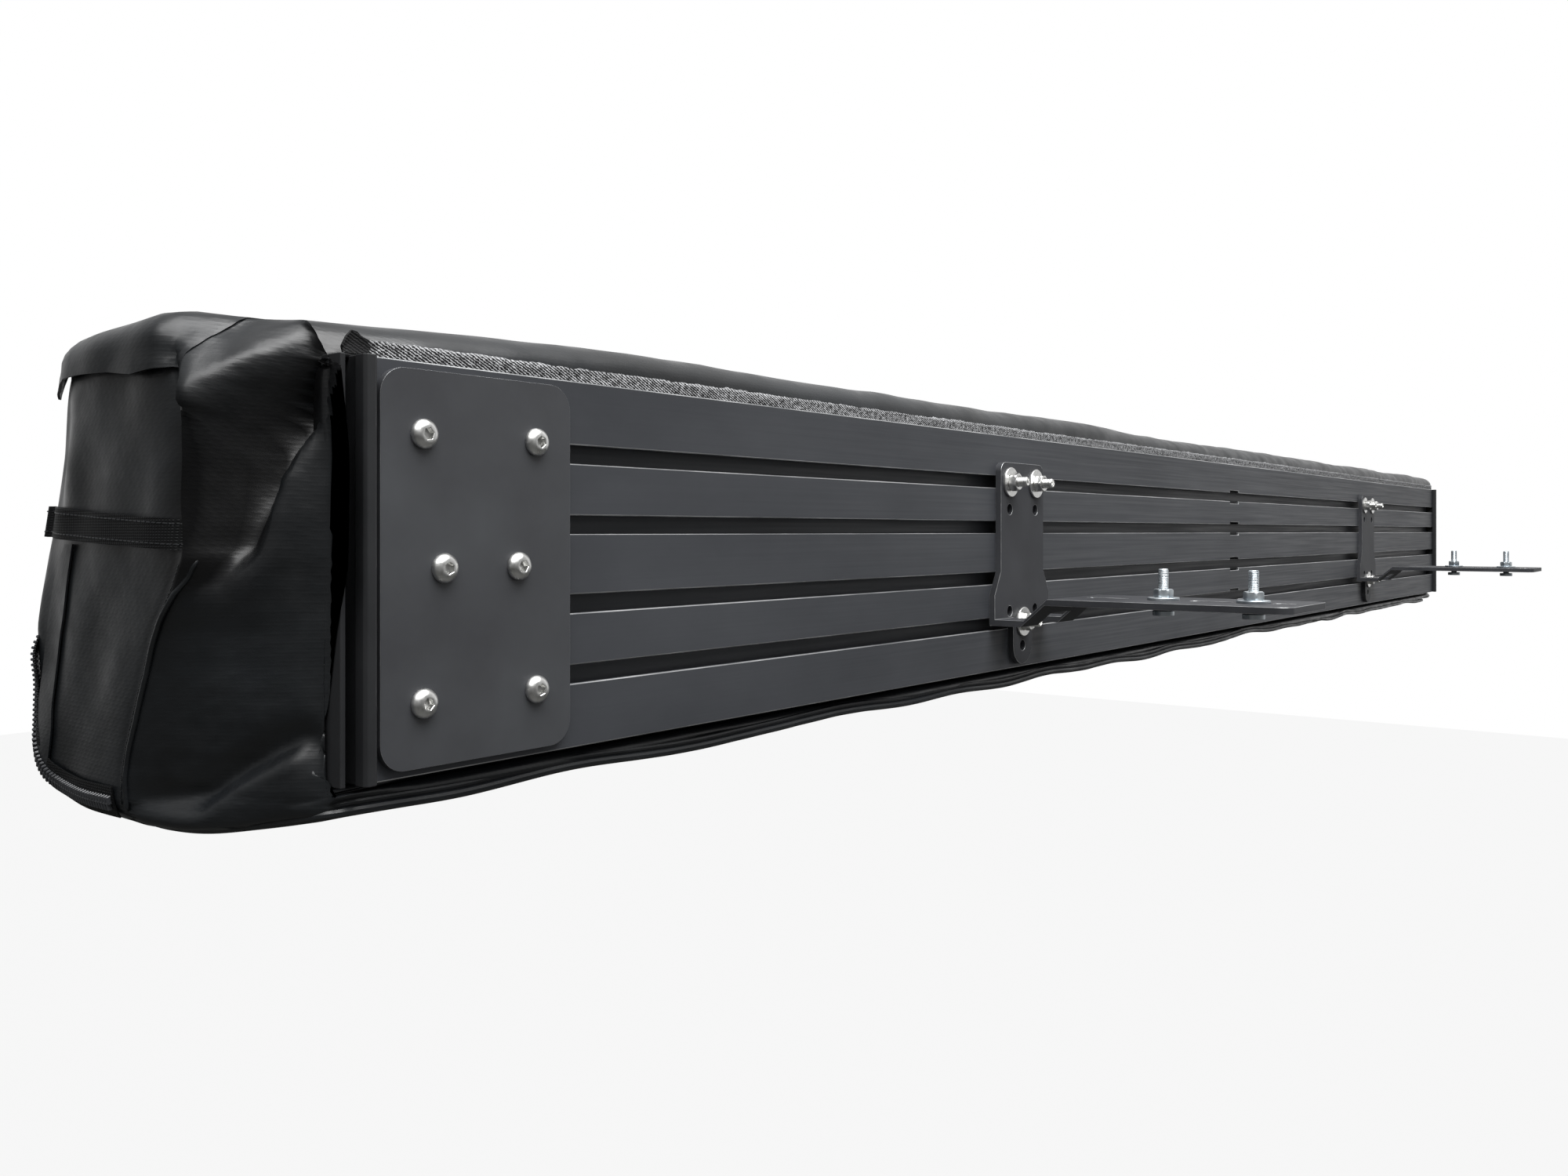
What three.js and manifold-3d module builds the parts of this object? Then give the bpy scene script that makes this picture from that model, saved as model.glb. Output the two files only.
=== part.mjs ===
// Vehicle side awning of the wing type, packed in its bag. Millimetres, +Z up.
// X runs along the awning away from its hinge end, +Y points away from the vehicle.
// The model is drawn from the hinge end of the back plate and then moved, so that
// the origin lies on the seat of the near bracket, where a crossbar holds it up.

import * as THREE from 'three';
import { mergeVertices } from 'three/addons/utils/BufferGeometryUtils.js';
import Module from 'manifold-3d';

const wasm = await Module();
wasm.setup();

// Gaps and roundness
const clearance = 0.3;
const cutOverrun = 2;
const boltSides = 16;
const arcSteps = 5;
const rightAngle = Math.PI / 2;

// Back plate, an extrusion with four T grooves
const plateLength = 2285;
const plateHeight = 190;
const plateWall = 3;
const grooveOpening = 9.6;
const grooveInside = 17;
const grooveDepth = 11;
const grooveWall = 2.5;
const outerGrooveRise = 57;
const innerGrooveRise = 20.5;
const notchPlace = 1150;
const notchLength = 30;
const notchReach = 2.6;

const plateDepth = grooveDepth + grooveWall;
const plateMiddle = plateHeight / 2;
const grooveHeights = [
  plateMiddle - outerGrooveRise,
  plateMiddle - innerGrooveRise,
  plateMiddle + innerGrooveRise,
  plateMiddle + outerGrooveRise,
];
const lowestGroove = grooveHeights[0];
const topGroove = grooveHeights[3];

// End channels, which cap the plate and hold the bag's cord in a slot
const channelWall = 1.5;
const channelSlotWidth = 8;
const channelSlotDepth = 10;
const channelMouth = 5.5;
const channelSlotSet = 2;
const ribWidth = 6;
const ribReach = 6;
const ribFlat = 2;
const channelHold = 4;
const slotSide = channelSlotWidth + channelWall;

// Reinforcement plate over the hinge, and its six button head bolts
const hingePlateStart = 6;
const hingePlateWidth = 113;
const hingePlateMargin = 4;
const hingePlateThickness = 4;
const hingePlateCorner = 13;
const hingeBoltWide = 33.6;
const hingeBoltRise = 61.5;
const hingeBoltNarrow = 22.2;
const buttonHeadRadius = 7;
const buttonHeadHeight = 4.4;
const buttonRim = 1.2;
const socketRadius = 2.9;
const socketDepth = 2.4;
const m8Radius = 4;

const hingePlateHeight = plateHeight - 2 * hingePlateMargin;
const hingePlateMiddle = hingePlateStart + hingePlateWidth / 2;
const hingeBoltPlaces = [
  [-hingeBoltWide, hingeBoltRise],
  [hingeBoltWide, hingeBoltRise],
  [-hingeBoltNarrow, 0],
  [hingeBoltNarrow, 0],
  [-hingeBoltWide, -hingeBoltRise],
  [hingeBoltWide, -hingeBoltRise],
];

// Hinge bracket inside the bag: a web behind the plate and two ears for the pin
const webThickness = 5;
const webMargin = 4;
const earThickness = 6;
const lowerEarDrop = 55;
const upperEarRise = 71;
const earBossRadius = 18;
const pinRadius = 8;
const pinHeadRadius = 12;
const pinHeadHeight = 4;
const pinTail = 5;
const pinPlaceX = -35;
const earFrontAngle = 0.855;
const earBackAngle = 3.47;

const lowerEarHeight = plateMiddle - lowerEarDrop;
const upperEarHeight = plateMiddle + upperEarRise;

// Four folding arms side by side, each turning on one slice of the common pin
const armCount = 4;
const armPitch = 36;
const innerLane = 43;
const armWidth = 24;
const armHeight = 44;
const armWall = 2;
const armShortfall = 49;
const armBlockStart = 75;
const armBlockLength = 20;
const knuckleRadius = 15;
const knuckleGap = 0.6;
const crankWidth = 22;

const armTip = plateLength - armShortfall;
const armTop = upperEarHeight - knuckleGap;
const armBottom = armTop - armHeight;
const laneOf = (arm) => innerLane + armPitch * (armCount - 1 - arm);
const pinPlaceY = laneOf(0);
const knuckleBase = lowerEarHeight + earThickness;
const knuckleHeight = (armTop - knuckleBase - armCount * knuckleGap) / armCount;

// Telescopic legs, one hanging under each arm from a pin between two cheeks
const legWidth = 19;
const legDepth = 20;
const legWall = 1.5;
const legLength = 1200;
const legEnd = 10;
const legPinRadius = 3;
const legPivotBack = 16;
const legPivotDrop = 16;
const cheekThickness = 2.1;
const cheekLength = 28;
const slideGap = 0.4;
const innerLegWall = 1.5;
const innerLegBack = 60;
const innerLegShow = 20;
const footLength = 18;
const footWidth = 22;
const footDepth = 24;

const legPivotX = armTip - legPivotBack;
const legPivotZ = armBottom - legPivotDrop;
const legStart = legPivotX + legEnd;
const legFreeEnd = legStart - legLength;

// Folded canopy, one flat pack standing beside each arm
const canopyThickness = 9;
const canopyStart = 135;
const canopyShortfall = 46;
const canopyDrop = 111.4;

const canopyEnd = armTip - canopyShortfall;
const canopyBottom = armTop - canopyDrop;

// Bag, a shell open towards the back plate
const bagWall = 3;
const bagFrontReach = 196;
const bagBackGap = 4.5;
const bagFloor = -24;
const bagTopRise = 26;
const bagNearEnd = -58;
const bagFarOverhang = 27;
const bagWindowGap = 0.4;
const bagSeamBack = 45;

const bagCeiling = plateHeight + bagTopRise;
const bagFarEnd = plateLength + bagFarOverhang;

// Edge tape, zip, slider and end strap
const tapeHeight = 7;
const tapeThickness = 2;
const tapeSetback = 1.5;
const zipWidth = 28;
const zipThickness = 1.4;
const zipRise = 102;
const zipGap = 0.3;
const zipStart = 20;
const zipEndGap = 30;
const sliderLength = 26;
const sliderWidth = 14;
const sliderHeight = 6;
const pullerLength = 34;
const pullerWidth = 9;
const pullerThickness = 2;
const strapWidth = 19;
const strapThickness = 1.6;
const strapRise = 25;
const strapStart = 52;
const strapEnd = 176;

const zipHeight = bagFloor + zipRise;
const strapHeight = plateMiddle + strapRise;

// Two folded brackets with slotted arms
const nearBracketPlace = 620;
const bracketSpacing = 1155;
const bracketSheet = 5;
const bracketTopMargin = 16;
const bracketFoldRise = 4;
const bracketSeatRise = 17.5;
const bracketHalfTop = 37.5;
const bracketHalfBottom = 48;
const bracketCorner = 8;
const flareStart = 19;
const flareHeight = 19;
const tongueWidth = 33;
const tongueDrop = 35;
const tongueHoleDrop = 19.6;
const tongueGap = 1.5;
const lowerFlatReach = 30;
const riseReach = 20;
const seatReach = 232;
const seatCorner = 10;
const bracketBoltHalf = 22.5;
const spareHoleDrop = 22;
const spareHoleRise = 9.5;
const boltHoleRadius = 4.5;
const slotHalfWidth = 4.5;
const innerSlotInset = 153;
const innerSlotLength = 34;
const middleSlotInset = 71;
const middleSlotLength = 32;
const outerSlotInset = 18;
const outerSlotLength = 16;
const studInset = 40;
const studSpacing = 68;
const seatPointSide = 30;

const bracketPlaces = [nearBracketPlace, nearBracketPlace + bracketSpacing];
const bracketTop = topGroove + bracketTopMargin;
const bracketFoldTop = lowestGroove + bracketFoldRise;
const bracketSeatTop = bracketFoldTop + bracketSeatRise;
const flareBottom = bracketFoldTop + flareStart;
const flareTop = flareBottom + flareHeight;
const tongueBottom = lowestGroove - tongueDrop;
const tongueHole = lowestGroove - tongueHoleDrop;
const spareHoleHigh = topGroove - spareHoleDrop;
const spareHoleLow = lowestGroove + spareHoleRise;
const seatSlots = [
  { centre: innerSlotInset - seatReach, length: innerSlotLength },
  { centre: middleSlotInset - seatReach, length: middleSlotLength },
  { centre: outerSlotInset - seatReach, length: outerSlotLength },
];
const studPlaces = [studInset + studSpacing - seatReach, studInset - seatReach];

// Bracket fasteners
const washerRadius = 12;
const washerThickness = 2;
const nutFlats = 13;
const nutHeight = 6.5;
const boltTail = 8;
const slotHeadSize = 14;
const slotHeadHeight = 5;
const slotHeadDepth = 4;
const studHeight = 24;
const studHeadRadius = 8;
const studHeadHeight = 4;
const crossbarLip = 3;

// Geometry helpers

function toSolid(geometry) {
  const bare = geometry.clone();
  bare.deleteAttribute('normal');
  bare.deleteAttribute('uv');
  const merged = mergeVertices(bare, clearance / 1000);
  const vertProperties = new Float32Array(merged.attributes.position.array);
  const triVerts = new Uint32Array(merged.index.array);
  return new wasm.Manifold(new wasm.Mesh({ numProp: 3, vertProperties, triVerts }));
}

function toGeometry(solid) {
  const mesh = solid.getMesh();
  const geometry = new THREE.BufferGeometry();
  const positions = new Float32Array(mesh.vertProperties);
  geometry.setAttribute('position', new THREE.BufferAttribute(positions, 3));
  geometry.setIndex(new THREE.BufferAttribute(new Uint32Array(mesh.triVerts), 1));
  geometry.computeVertexNormals();
  return geometry;
}

const join = (...parts) => toGeometry(parts.map(toSolid).reduce((a, b) => a.add(b)));

function cut(body, ...tools) {
  let solid = toSolid(body);
  for (const tool of tools) solid = solid.subtract(toSolid(tool));
  return toGeometry(solid);
}

function boxBetween(x0, x1, y0, y1, z0, z1) {
  const box = new THREE.BoxGeometry(x1 - x0, y1 - y0, z1 - z0);
  return box.translate((x0 + x1) / 2, (y0 + y1) / 2, (z0 + z1) / 2);
}

function rodAlongZ(x, y, z0, z1, radius, sides = boltSides) {
  const rod = new THREE.CylinderGeometry(radius, radius, z1 - z0, sides);
  return rod.rotateX(rightAngle).translate(x, y, (z0 + z1) / 2);
}

function rodAlongY(x, z, y0, y1, radius, sides = boltSides) {
  const rod = new THREE.CylinderGeometry(radius, radius, y1 - y0, sides);
  return rod.translate(x, (y0 + y1) / 2, z);
}

function outline(points) {
  return new THREE.Shape(points.map(([u, v]) => new THREE.Vector2(u, v)));
}

function extrude(shape, depth) {
  return new THREE.ExtrudeGeometry(shape, {
    depth,
    bevelEnabled: false,
    steps: 1,
    curveSegments: arcSteps,
  });
}

// A section drawn in Y and Z, drawn out along X from start
function alongX(shape, start, length) {
  const turn = new THREE.Matrix4().set(0, 0, 1, start, 1, 0, 0, 0, 0, 1, 0, 0, 0, 0, 0, 1);
  return extrude(shape, length).applyMatrix4(turn);
}

// A face drawn in X and Z, drawn out towards the vehicle from y = back
function towardsVehicle(shape, back, thickness) {
  return extrude(shape, thickness).rotateX(rightAngle).translate(0, back, 0);
}

// A plan drawn in X and Y, drawn up from z = bottom
function upFrom(shape, bottom, height) {
  return extrude(shape, height).translate(0, 0, bottom);
}

// A closed solid through rings that all have as many points, with flat ends
function loft(rings) {
  const count = rings[0].length;
  const positions = [];
  for (const ring of rings) for (const point of ring) positions.push(...point);
  const faces = [];
  for (let r = 0; r + 1 < rings.length; r += 1) {
    for (let i = 0; i < count; i += 1) {
      const a = r * count + i;
      const b = r * count + ((i + 1) % count);
      faces.push(a, b, a + count, b, b + count, a + count);
    }
  }
  const cap = (start, flip) => {
    const ring = rings[start].map(([, y, z]) => new THREE.Vector2(y, z));
    for (const [a, b, c] of THREE.ShapeUtils.triangulateShape(ring, [])) {
      const base = start * count;
      faces.push(base + a, base + (flip ? c : b), base + (flip ? b : c));
    }
  };
  cap(0, true);
  cap(rings.length - 1, false);
  const geometry = new THREE.BufferGeometry();
  geometry.setAttribute('position', new THREE.Float32BufferAttribute(positions, 3));
  geometry.setIndex(faces);
  geometry.computeVertexNormals();
  return geometry;
}

// Materials

function finish(color, roughness, metalness) {
  return new THREE.MeshStandardMaterial({ color, roughness, metalness });
}

const blackAluminium = () => finish(0x4b4d4f, 0.45, 0.6);
const blackSteel = () => finish(0x1a1b1c, 0.4, 0.4);
const stainlessSteel = () => finish(0xd8d8d6, 0.3, 1);
const zincPlate = () => finish(0xc8d0d4, 0.35, 1);
const silverAluminium = () => finish(0xb9bcc0, 0.4, 0.9);
const bagVinyl = () => finish(0x232528, 0.4, 0);
const wovenBlack = () => finish(0x17181a, 0.8, 0);
const canopyCloth = () => finish(0x8a8f86, 0.9, 0);
const footPlastic = () => finish(0x202124, 0.6, 0);

const awning = new THREE.Group();

function add(name, geometry, material) {
  const mesh = new THREE.Mesh(geometry, material);
  mesh.name = name;
  awning.add(mesh);
}

// Back plate

function plateSection() {
  const half = grooveOpening / 2;
  const inside = grooveInside / 2;
  const outside = inside + grooveWall;
  const front = grooveHeights.flatMap((z) => [
    [0, z - half],
    [plateWall, z - half],
    [plateWall, z - inside],
    [grooveDepth, z - inside],
    [grooveDepth, z + inside],
    [plateWall, z + inside],
    [plateWall, z + half],
    [0, z + half],
  ]);
  const back = [...grooveHeights].reverse().flatMap((z) => [
    [plateWall, z + outside],
    [plateDepth, z + outside],
    [plateDepth, z - outside],
    [plateWall, z - outside],
  ]);
  return outline([
    [0, 0],
    ...front,
    [0, plateHeight],
    [plateDepth, plateHeight],
    [plateDepth, plateHeight - plateWall],
    [plateWall, plateHeight - plateWall],
    ...back,
    [plateWall, plateWall],
    [plateDepth, plateWall],
    [plateDepth, 0],
  ]);
}

function hingeBoltHoles(front, back) {
  return hingeBoltPlaces.map(([x, z]) =>
    rodAlongY(hingePlateMiddle + x, plateMiddle + z, front, back, m8Radius + clearance));
}

function entryNotches() {
  const reach = grooveOpening / 2 + notchReach;
  return grooveHeights.map((z) => boxBetween(
    notchPlace, notchPlace + notchLength, -cutOverrun, plateWall, z - reach, z + reach));
}

function backPlate() {
  const body = alongX(plateSection(), 0, plateLength);
  return cut(body, ...hingeBoltHoles(-cutOverrun, plateDepth + cutOverrun), ...entryNotches());
}

// End channels. The plan is drawn for the near end; the far one is its mirror image.

function channelPlan(mirror, end) {
  const lip = (channelSlotWidth - channelMouth) / 2;
  const floor = channelSlotSet + channelSlotDepth;
  const points = [
    [-slotSide - channelWall, -channelWall + channelSlotSet],
    [-slotSide + lip, -channelWall + channelSlotSet],
    [-slotSide + lip, channelSlotSet],
    [-slotSide, channelSlotSet],
    [-slotSide, floor],
    [-channelWall, floor],
    [-channelWall, channelSlotSet],
    [-channelWall - lip, channelSlotSet],
    [-channelWall - lip, -ribReach + ribFlat],
    [-channelWall, -ribReach],
    [ribWidth - channelWall - ribFlat, -ribReach],
    [ribWidth - channelWall, -ribReach + ribFlat],
    [ribWidth - channelWall, -clearance],
    [-clearance, -clearance],
    [-clearance, plateDepth + clearance],
    [channelHold, plateDepth + clearance],
    [channelHold, plateDepth + clearance + channelWall],
    [-slotSide - channelWall, plateDepth + clearance + channelWall],
  ];
  return outline(points.map(([x, y]) => [end + mirror * x, y]));
}

// Hinge reinforcement plate

function roundedRectangle(x0, x1, z0, z1, radius) {
  const shape = new THREE.Shape();
  shape.moveTo(x0 + radius, z0);
  shape.lineTo(x1 - radius, z0);
  shape.absarc(x1 - radius, z0 + radius, radius, -rightAngle, 0);
  shape.absarc(x1 - radius, z1 - radius, radius, 0, rightAngle);
  shape.absarc(x0 + radius, z1 - radius, radius, rightAngle, 2 * rightAngle);
  shape.absarc(x0 + radius, z0 + radius, radius, 2 * rightAngle, 3 * rightAngle);
  return shape;
}

function hingePlate() {
  const low = plateMiddle - hingePlateHeight / 2;
  const shape = roundedRectangle(
    hingePlateStart, hingePlateStart + hingePlateWidth, low, low + hingePlateHeight, hingePlateCorner);
  const body = towardsVehicle(shape, 0, hingePlateThickness);
  return cut(body, ...hingeBoltHoles(-hingePlateThickness - cutOverrun, cutOverrun));
}

// Button head bolt, turned about its axis, with a hexagon socket. Head faces -Y.
function hingeBolt(x, z) {
  const seat = -hingePlateThickness;
  const reach = plateDepth + webThickness - seat;
  const dome = buttonHeadRadius - buttonRim;
  const profile = [
    [0, -reach],
    [m8Radius, -reach],
    [m8Radius, 0],
    [buttonHeadRadius, 0],
    [buttonHeadRadius, buttonRim],
    [dome, (buttonHeadHeight + buttonRim) / 2 + buttonRim / 2],
    [socketRadius + buttonRim / 2, buttonHeadHeight],
    [0, buttonHeadHeight],
  ].map(([r, y]) => new THREE.Vector2(r, y));
  const body = new THREE.LatheGeometry(profile, boltSides).rotateX(2 * rightAngle);
  const socket = new THREE.CylinderGeometry(socketRadius, socketRadius, socketDepth * 2, 6);
  socket.translate(0, -buttonHeadHeight, 0);
  return cut(body, socket).translate(x, seat, z);
}

// Hinge bracket: web, two ears and the pin's hole

function earPlan() {
  const front = plateDepth;
  const shape = new THREE.Shape();
  shape.moveTo(hingePlateStart + webMargin, front);
  shape.lineTo(hingePlateStart + hingePlateWidth - webMargin, front);
  shape.absarc(pinPlaceX, pinPlaceY, earBossRadius, earFrontAngle, earBackAngle);
  return shape;
}

function hingeBracket() {
  const low = plateMiddle - hingePlateHeight / 2 + webMargin;
  const high = plateMiddle + hingePlateHeight / 2 - webMargin;
  const web = boxBetween(hingePlateStart, hingePlateStart + hingePlateWidth,
    plateDepth, plateDepth + webThickness, low, high);
  const lower = upFrom(earPlan(), lowerEarHeight, earThickness);
  const upper = upFrom(earPlan(), upperEarHeight, earThickness);
  const body = join(web, lower, upper);
  const pinHole = rodAlongZ(pinPlaceX, pinPlaceY, lowerEarHeight - cutOverrun,
    upperEarHeight + earThickness + cutOverrun, pinRadius + clearance);
  return cut(body, pinHole, ...hingeBoltHoles(-cutOverrun, plateDepth + webThickness + cutOverrun));
}

function hingePin() {
  const top = upperEarHeight + earThickness;
  const shank = rodAlongZ(pinPlaceX, pinPlaceY, lowerEarHeight - pinTail, top + pinHeadHeight / 2,
    pinRadius);
  const head = rodAlongZ(pinPlaceX, pinPlaceY, top, top + pinHeadHeight, pinHeadRadius);
  return join(shank, head);
}

// Arms. Arm 0 is the outermost and has the top slice of the pin.

function armSlice(arm) {
  const top = armTop - arm * (knuckleHeight + knuckleGap);
  return [top - knuckleHeight, top];
}

function crank(arm) {
  const [low, high] = armSlice(arm);
  const endX = armBlockStart + armBlockLength / 2;
  const across = laneOf(arm) - pinPlaceY;
  const along = endX - pinPlaceX;
  const reach = Math.hypot(along, across);
  const bar = boxBetween(0, reach, -crankWidth / 2, crankWidth / 2, low, high);
  return bar.rotateZ(Math.atan2(across, along)).translate(pinPlaceX, pinPlaceY, 0);
}

function arm(index) {
  const [low, high] = armSlice(index);
  const lane = laneOf(index);
  const half = armWidth / 2;
  const blockEnd = armBlockStart + armBlockLength;
  const knuckle = rodAlongZ(pinPlaceX, pinPlaceY, low, high, knuckleRadius);
  const block = boxBetween(armBlockStart, blockEnd, lane - half, lane + half, low, armTop);
  const beam = boxBetween(armBlockStart, armTip, lane - half, lane + half, armBottom, armTop);
  const cheek = (side) => {
    const outer = lane + side * half;
    const inner = outer - side * cheekThickness;
    return boxBetween(armTip - cheekLength, armTip, Math.min(inner, outer), Math.max(inner, outer),
      legPivotZ - legDepth / 2, armBottom + armWall);
  };
  const body = join(knuckle, crank(index), block, beam, cheek(-1), cheek(1));
  const hollow = boxBetween(blockEnd, armTip + cutOverrun, lane - half + armWall,
    lane + half - armWall, armBottom + armWall, armTop - armWall);
  const bore = rodAlongZ(pinPlaceX, pinPlaceY, low - cutOverrun, high + cutOverrun,
    pinRadius + clearance);
  const pin = rodAlongY(legPivotX, legPivotZ, lane - half, lane + half, legPinRadius);
  return join(cut(body, hollow, bore), pin);
}

// Legs

function leg(index) {
  const lane = laneOf(index);
  const half = legWidth / 2;
  const low = legPivotZ - legDepth / 2;
  const high = legPivotZ + legDepth / 2;
  const tube = boxBetween(legFreeEnd, legStart, lane - half, lane + half, low, high);
  const hollow = boxBetween(legFreeEnd - cutOverrun, legStart + cutOverrun, lane - half + legWall,
    lane + half - legWall, low + legWall, high - legWall);
  const hole = rodAlongY(legPivotX, legPivotZ, lane - half - cutOverrun, lane + half + cutOverrun,
    legPinRadius + clearance);
  return cut(tube, hollow, hole);
}

function innerLeg(index) {
  const lane = laneOf(index);
  const half = legWidth / 2 - legWall - slideGap;
  const rise = legDepth / 2 - legWall - slideGap;
  const start = legFreeEnd - innerLegShow;
  const end = legStart - innerLegBack;
  const tube = boxBetween(start, end, lane - half, lane + half, legPivotZ - rise, legPivotZ + rise);
  const hollow = boxBetween(start + footLength, end + cutOverrun, lane - half + innerLegWall,
    lane + half - innerLegWall, legPivotZ - rise + innerLegWall, legPivotZ + rise - innerLegWall);
  return cut(tube, hollow);
}

function legFoot(index) {
  const lane = laneOf(index);
  const end = legFreeEnd - innerLegShow;
  const shape = roundedRectangle(lane - footWidth / 2, lane + footWidth / 2,
    legPivotZ - footDepth / 2, legPivotZ + footDepth / 2, footWidth / 4);
  return alongX(shape, end - footLength, footLength);
}

// Folded canopy packs, between each arm and its outer neighbour

function canopyPack(index) {
  const inner = laneOf(index) + armWidth / 2 + clearance;
  return boxBetween(canopyStart, canopyEnd, inner, inner + canopyThickness, canopyBottom, armTop);
}

// Bag. Each ring is a section across the awning; back is where it starts in y,
// and the reach, floor and ceiling shrink a little at the ends.

const bagCornerShares = [
  [0, 0.93], [0.02, 0.965], [0.05, 0.99], [0.12, 1], [0.5, 1], [0.78, 0.985], [0.92, 0.93],
  [0.985, 0.82], [1, 0.6], [0.995, 0.25], [0.965, 0.09], [0.88, 0.02], [0.6, 0], [0.3, 0.005],
  [0.12, 0.02], [0.04, 0.045], [0, 0.07],
];

function bagRing(x, back, reach, low, high) {
  return bagCornerShares.map(([across, up]) => [
    x, back + across * (reach - back), low + up * (high - low)]).reverse();
}

const bagNearLength = bagBackGap - bagNearEnd;
const bagRings = (wall) => {
  const near = -slotSide - channelWall;
  const far = plateLength + slotSide + channelWall;
  const low = bagFloor + wall;
  const high = bagCeiling - wall;
  const reach = bagFrontReach - wall;
  const back = bagBackGap + wall;
  const seam = bagSeamBack + wall;
  const shrink = bagWall * 2;
  return [
    bagRing(bagNearEnd + wall, seam, reach - shrink, low + shrink, high - shrink),
    bagRing(bagNearEnd + bagNearLength / 4, seam - bagSeamBack / 4, reach, low, high),
    bagRing(near - wall, back, reach, low, high),
    bagRing(far + wall, back, reach, low, high),
    bagRing(bagFarEnd - wall, back, reach - shrink, low + shrink, high - shrink),
  ];
};

function bagCover() {
  const gap = bagWindowGap;
  const side = slotSide + channelWall + gap;
  const window = boxBetween(-side, plateLength + side, -cutOverrun, bagBackGap + bagWall * 4,
    -gap, plateHeight + gap);
  return cut(loft(bagRings(0)), loft(bagRings(bagWall)), window);
}

// Tape along the plate's top edge, zip, slider and the strap across the near end

function edgeTape() {
  return boxBetween(0, plateLength, tapeSetback, tapeSetback + tapeThickness,
    plateHeight, plateHeight + tapeHeight);
}

const zipFace = bagFrontReach + zipGap;

function zipTape() {
  return boxBetween(zipStart, plateLength - zipEndGap, zipFace, zipFace + zipThickness,
    zipHeight - zipWidth / 2, zipHeight + zipWidth / 2);
}

function zipSlider() {
  const start = plateLength - zipEndGap - sliderLength;
  const face = zipFace + zipThickness + zipGap;
  const body = boxBetween(start, start + sliderLength, face, face + sliderHeight,
    zipHeight - sliderWidth / 2, zipHeight + sliderWidth / 2);
  const puller = boxBetween(start - pullerLength + sliderWidth, start + sliderWidth,
    face + sliderHeight - pullerThickness, face + sliderHeight,
    zipHeight - pullerWidth / 2, zipHeight + pullerWidth / 2);
  return join(body, puller);
}

function endStrap() {
  const face = bagNearEnd - zipGap;
  return boxBetween(face - strapThickness, face, strapStart, strapEnd,
    strapHeight - strapWidth / 2, strapHeight + strapWidth / 2);
}

// Brackets

function bracketFace(centre) {
  const shape = new THREE.Shape();
  const wide = bracketHalfBottom;
  const slim = bracketHalfTop;
  const tongue = tongueWidth / 2;
  const right = bracketTop - bracketCorner;
  const base = bracketFoldTop - bracketSheet;
  shape.moveTo(centre - wide, base);
  shape.lineTo(centre - tongue - tongueGap, base);
  shape.lineTo(centre - tongue - tongueGap, bracketFoldTop);
  shape.lineTo(centre - tongue, bracketFoldTop);
  shape.lineTo(centre - tongue, tongueBottom + tongue);
  shape.absarc(centre, tongueBottom + tongue, tongue, 2 * rightAngle, 4 * rightAngle);
  shape.lineTo(centre + tongue, bracketFoldTop);
  shape.lineTo(centre + tongue + tongueGap, bracketFoldTop);
  shape.lineTo(centre + tongue + tongueGap, base);
  shape.lineTo(centre + wide, base);
  shape.lineTo(centre + wide, flareBottom);
  shape.lineTo(centre + slim, flareTop);
  shape.lineTo(centre + slim, right);
  shape.absarc(centre + slim - bracketCorner, right, bracketCorner, 0, rightAngle);
  shape.absarc(centre - slim + bracketCorner, right, bracketCorner, rightAngle, 2 * rightAngle);
  shape.lineTo(centre - slim, flareTop);
  shape.lineTo(centre - wide, flareBottom);
  return shape;
}

// The arm's side view, in Y and Z: lower flat, rise and upper flat of one thickness
function bracketArmSide() {
  const lowEnd = -lowerFlatReach;
  const highStart = -lowerFlatReach - riseReach;
  const lean = bracketSheet / 2;
  return outline([
    [0, bracketFoldTop - bracketSheet],
    [0, bracketFoldTop],
    [lowEnd, bracketFoldTop],
    [highStart, bracketSeatTop],
    [-seatReach, bracketSeatTop],
    [-seatReach, bracketSeatTop - bracketSheet],
    [highStart + lean, bracketSeatTop - bracketSheet],
    [lowEnd + lean, bracketFoldTop - bracketSheet],
  ].reverse());
}

function seatSlot(centre, slot) {
  const straight = slot.length / 2 - slotHalfWidth;
  const low = bracketSeatTop - bracketSheet - cutOverrun;
  const high = bracketSeatTop + cutOverrun;
  const ends = [-straight, straight].map((y) =>
    rodAlongZ(centre, slot.centre + y, low, high, slotHalfWidth));
  const middle = boxBetween(centre - slotHalfWidth, centre + slotHalfWidth,
    slot.centre - straight, slot.centre + straight, low, high);
  return join(...ends, middle);
}

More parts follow.
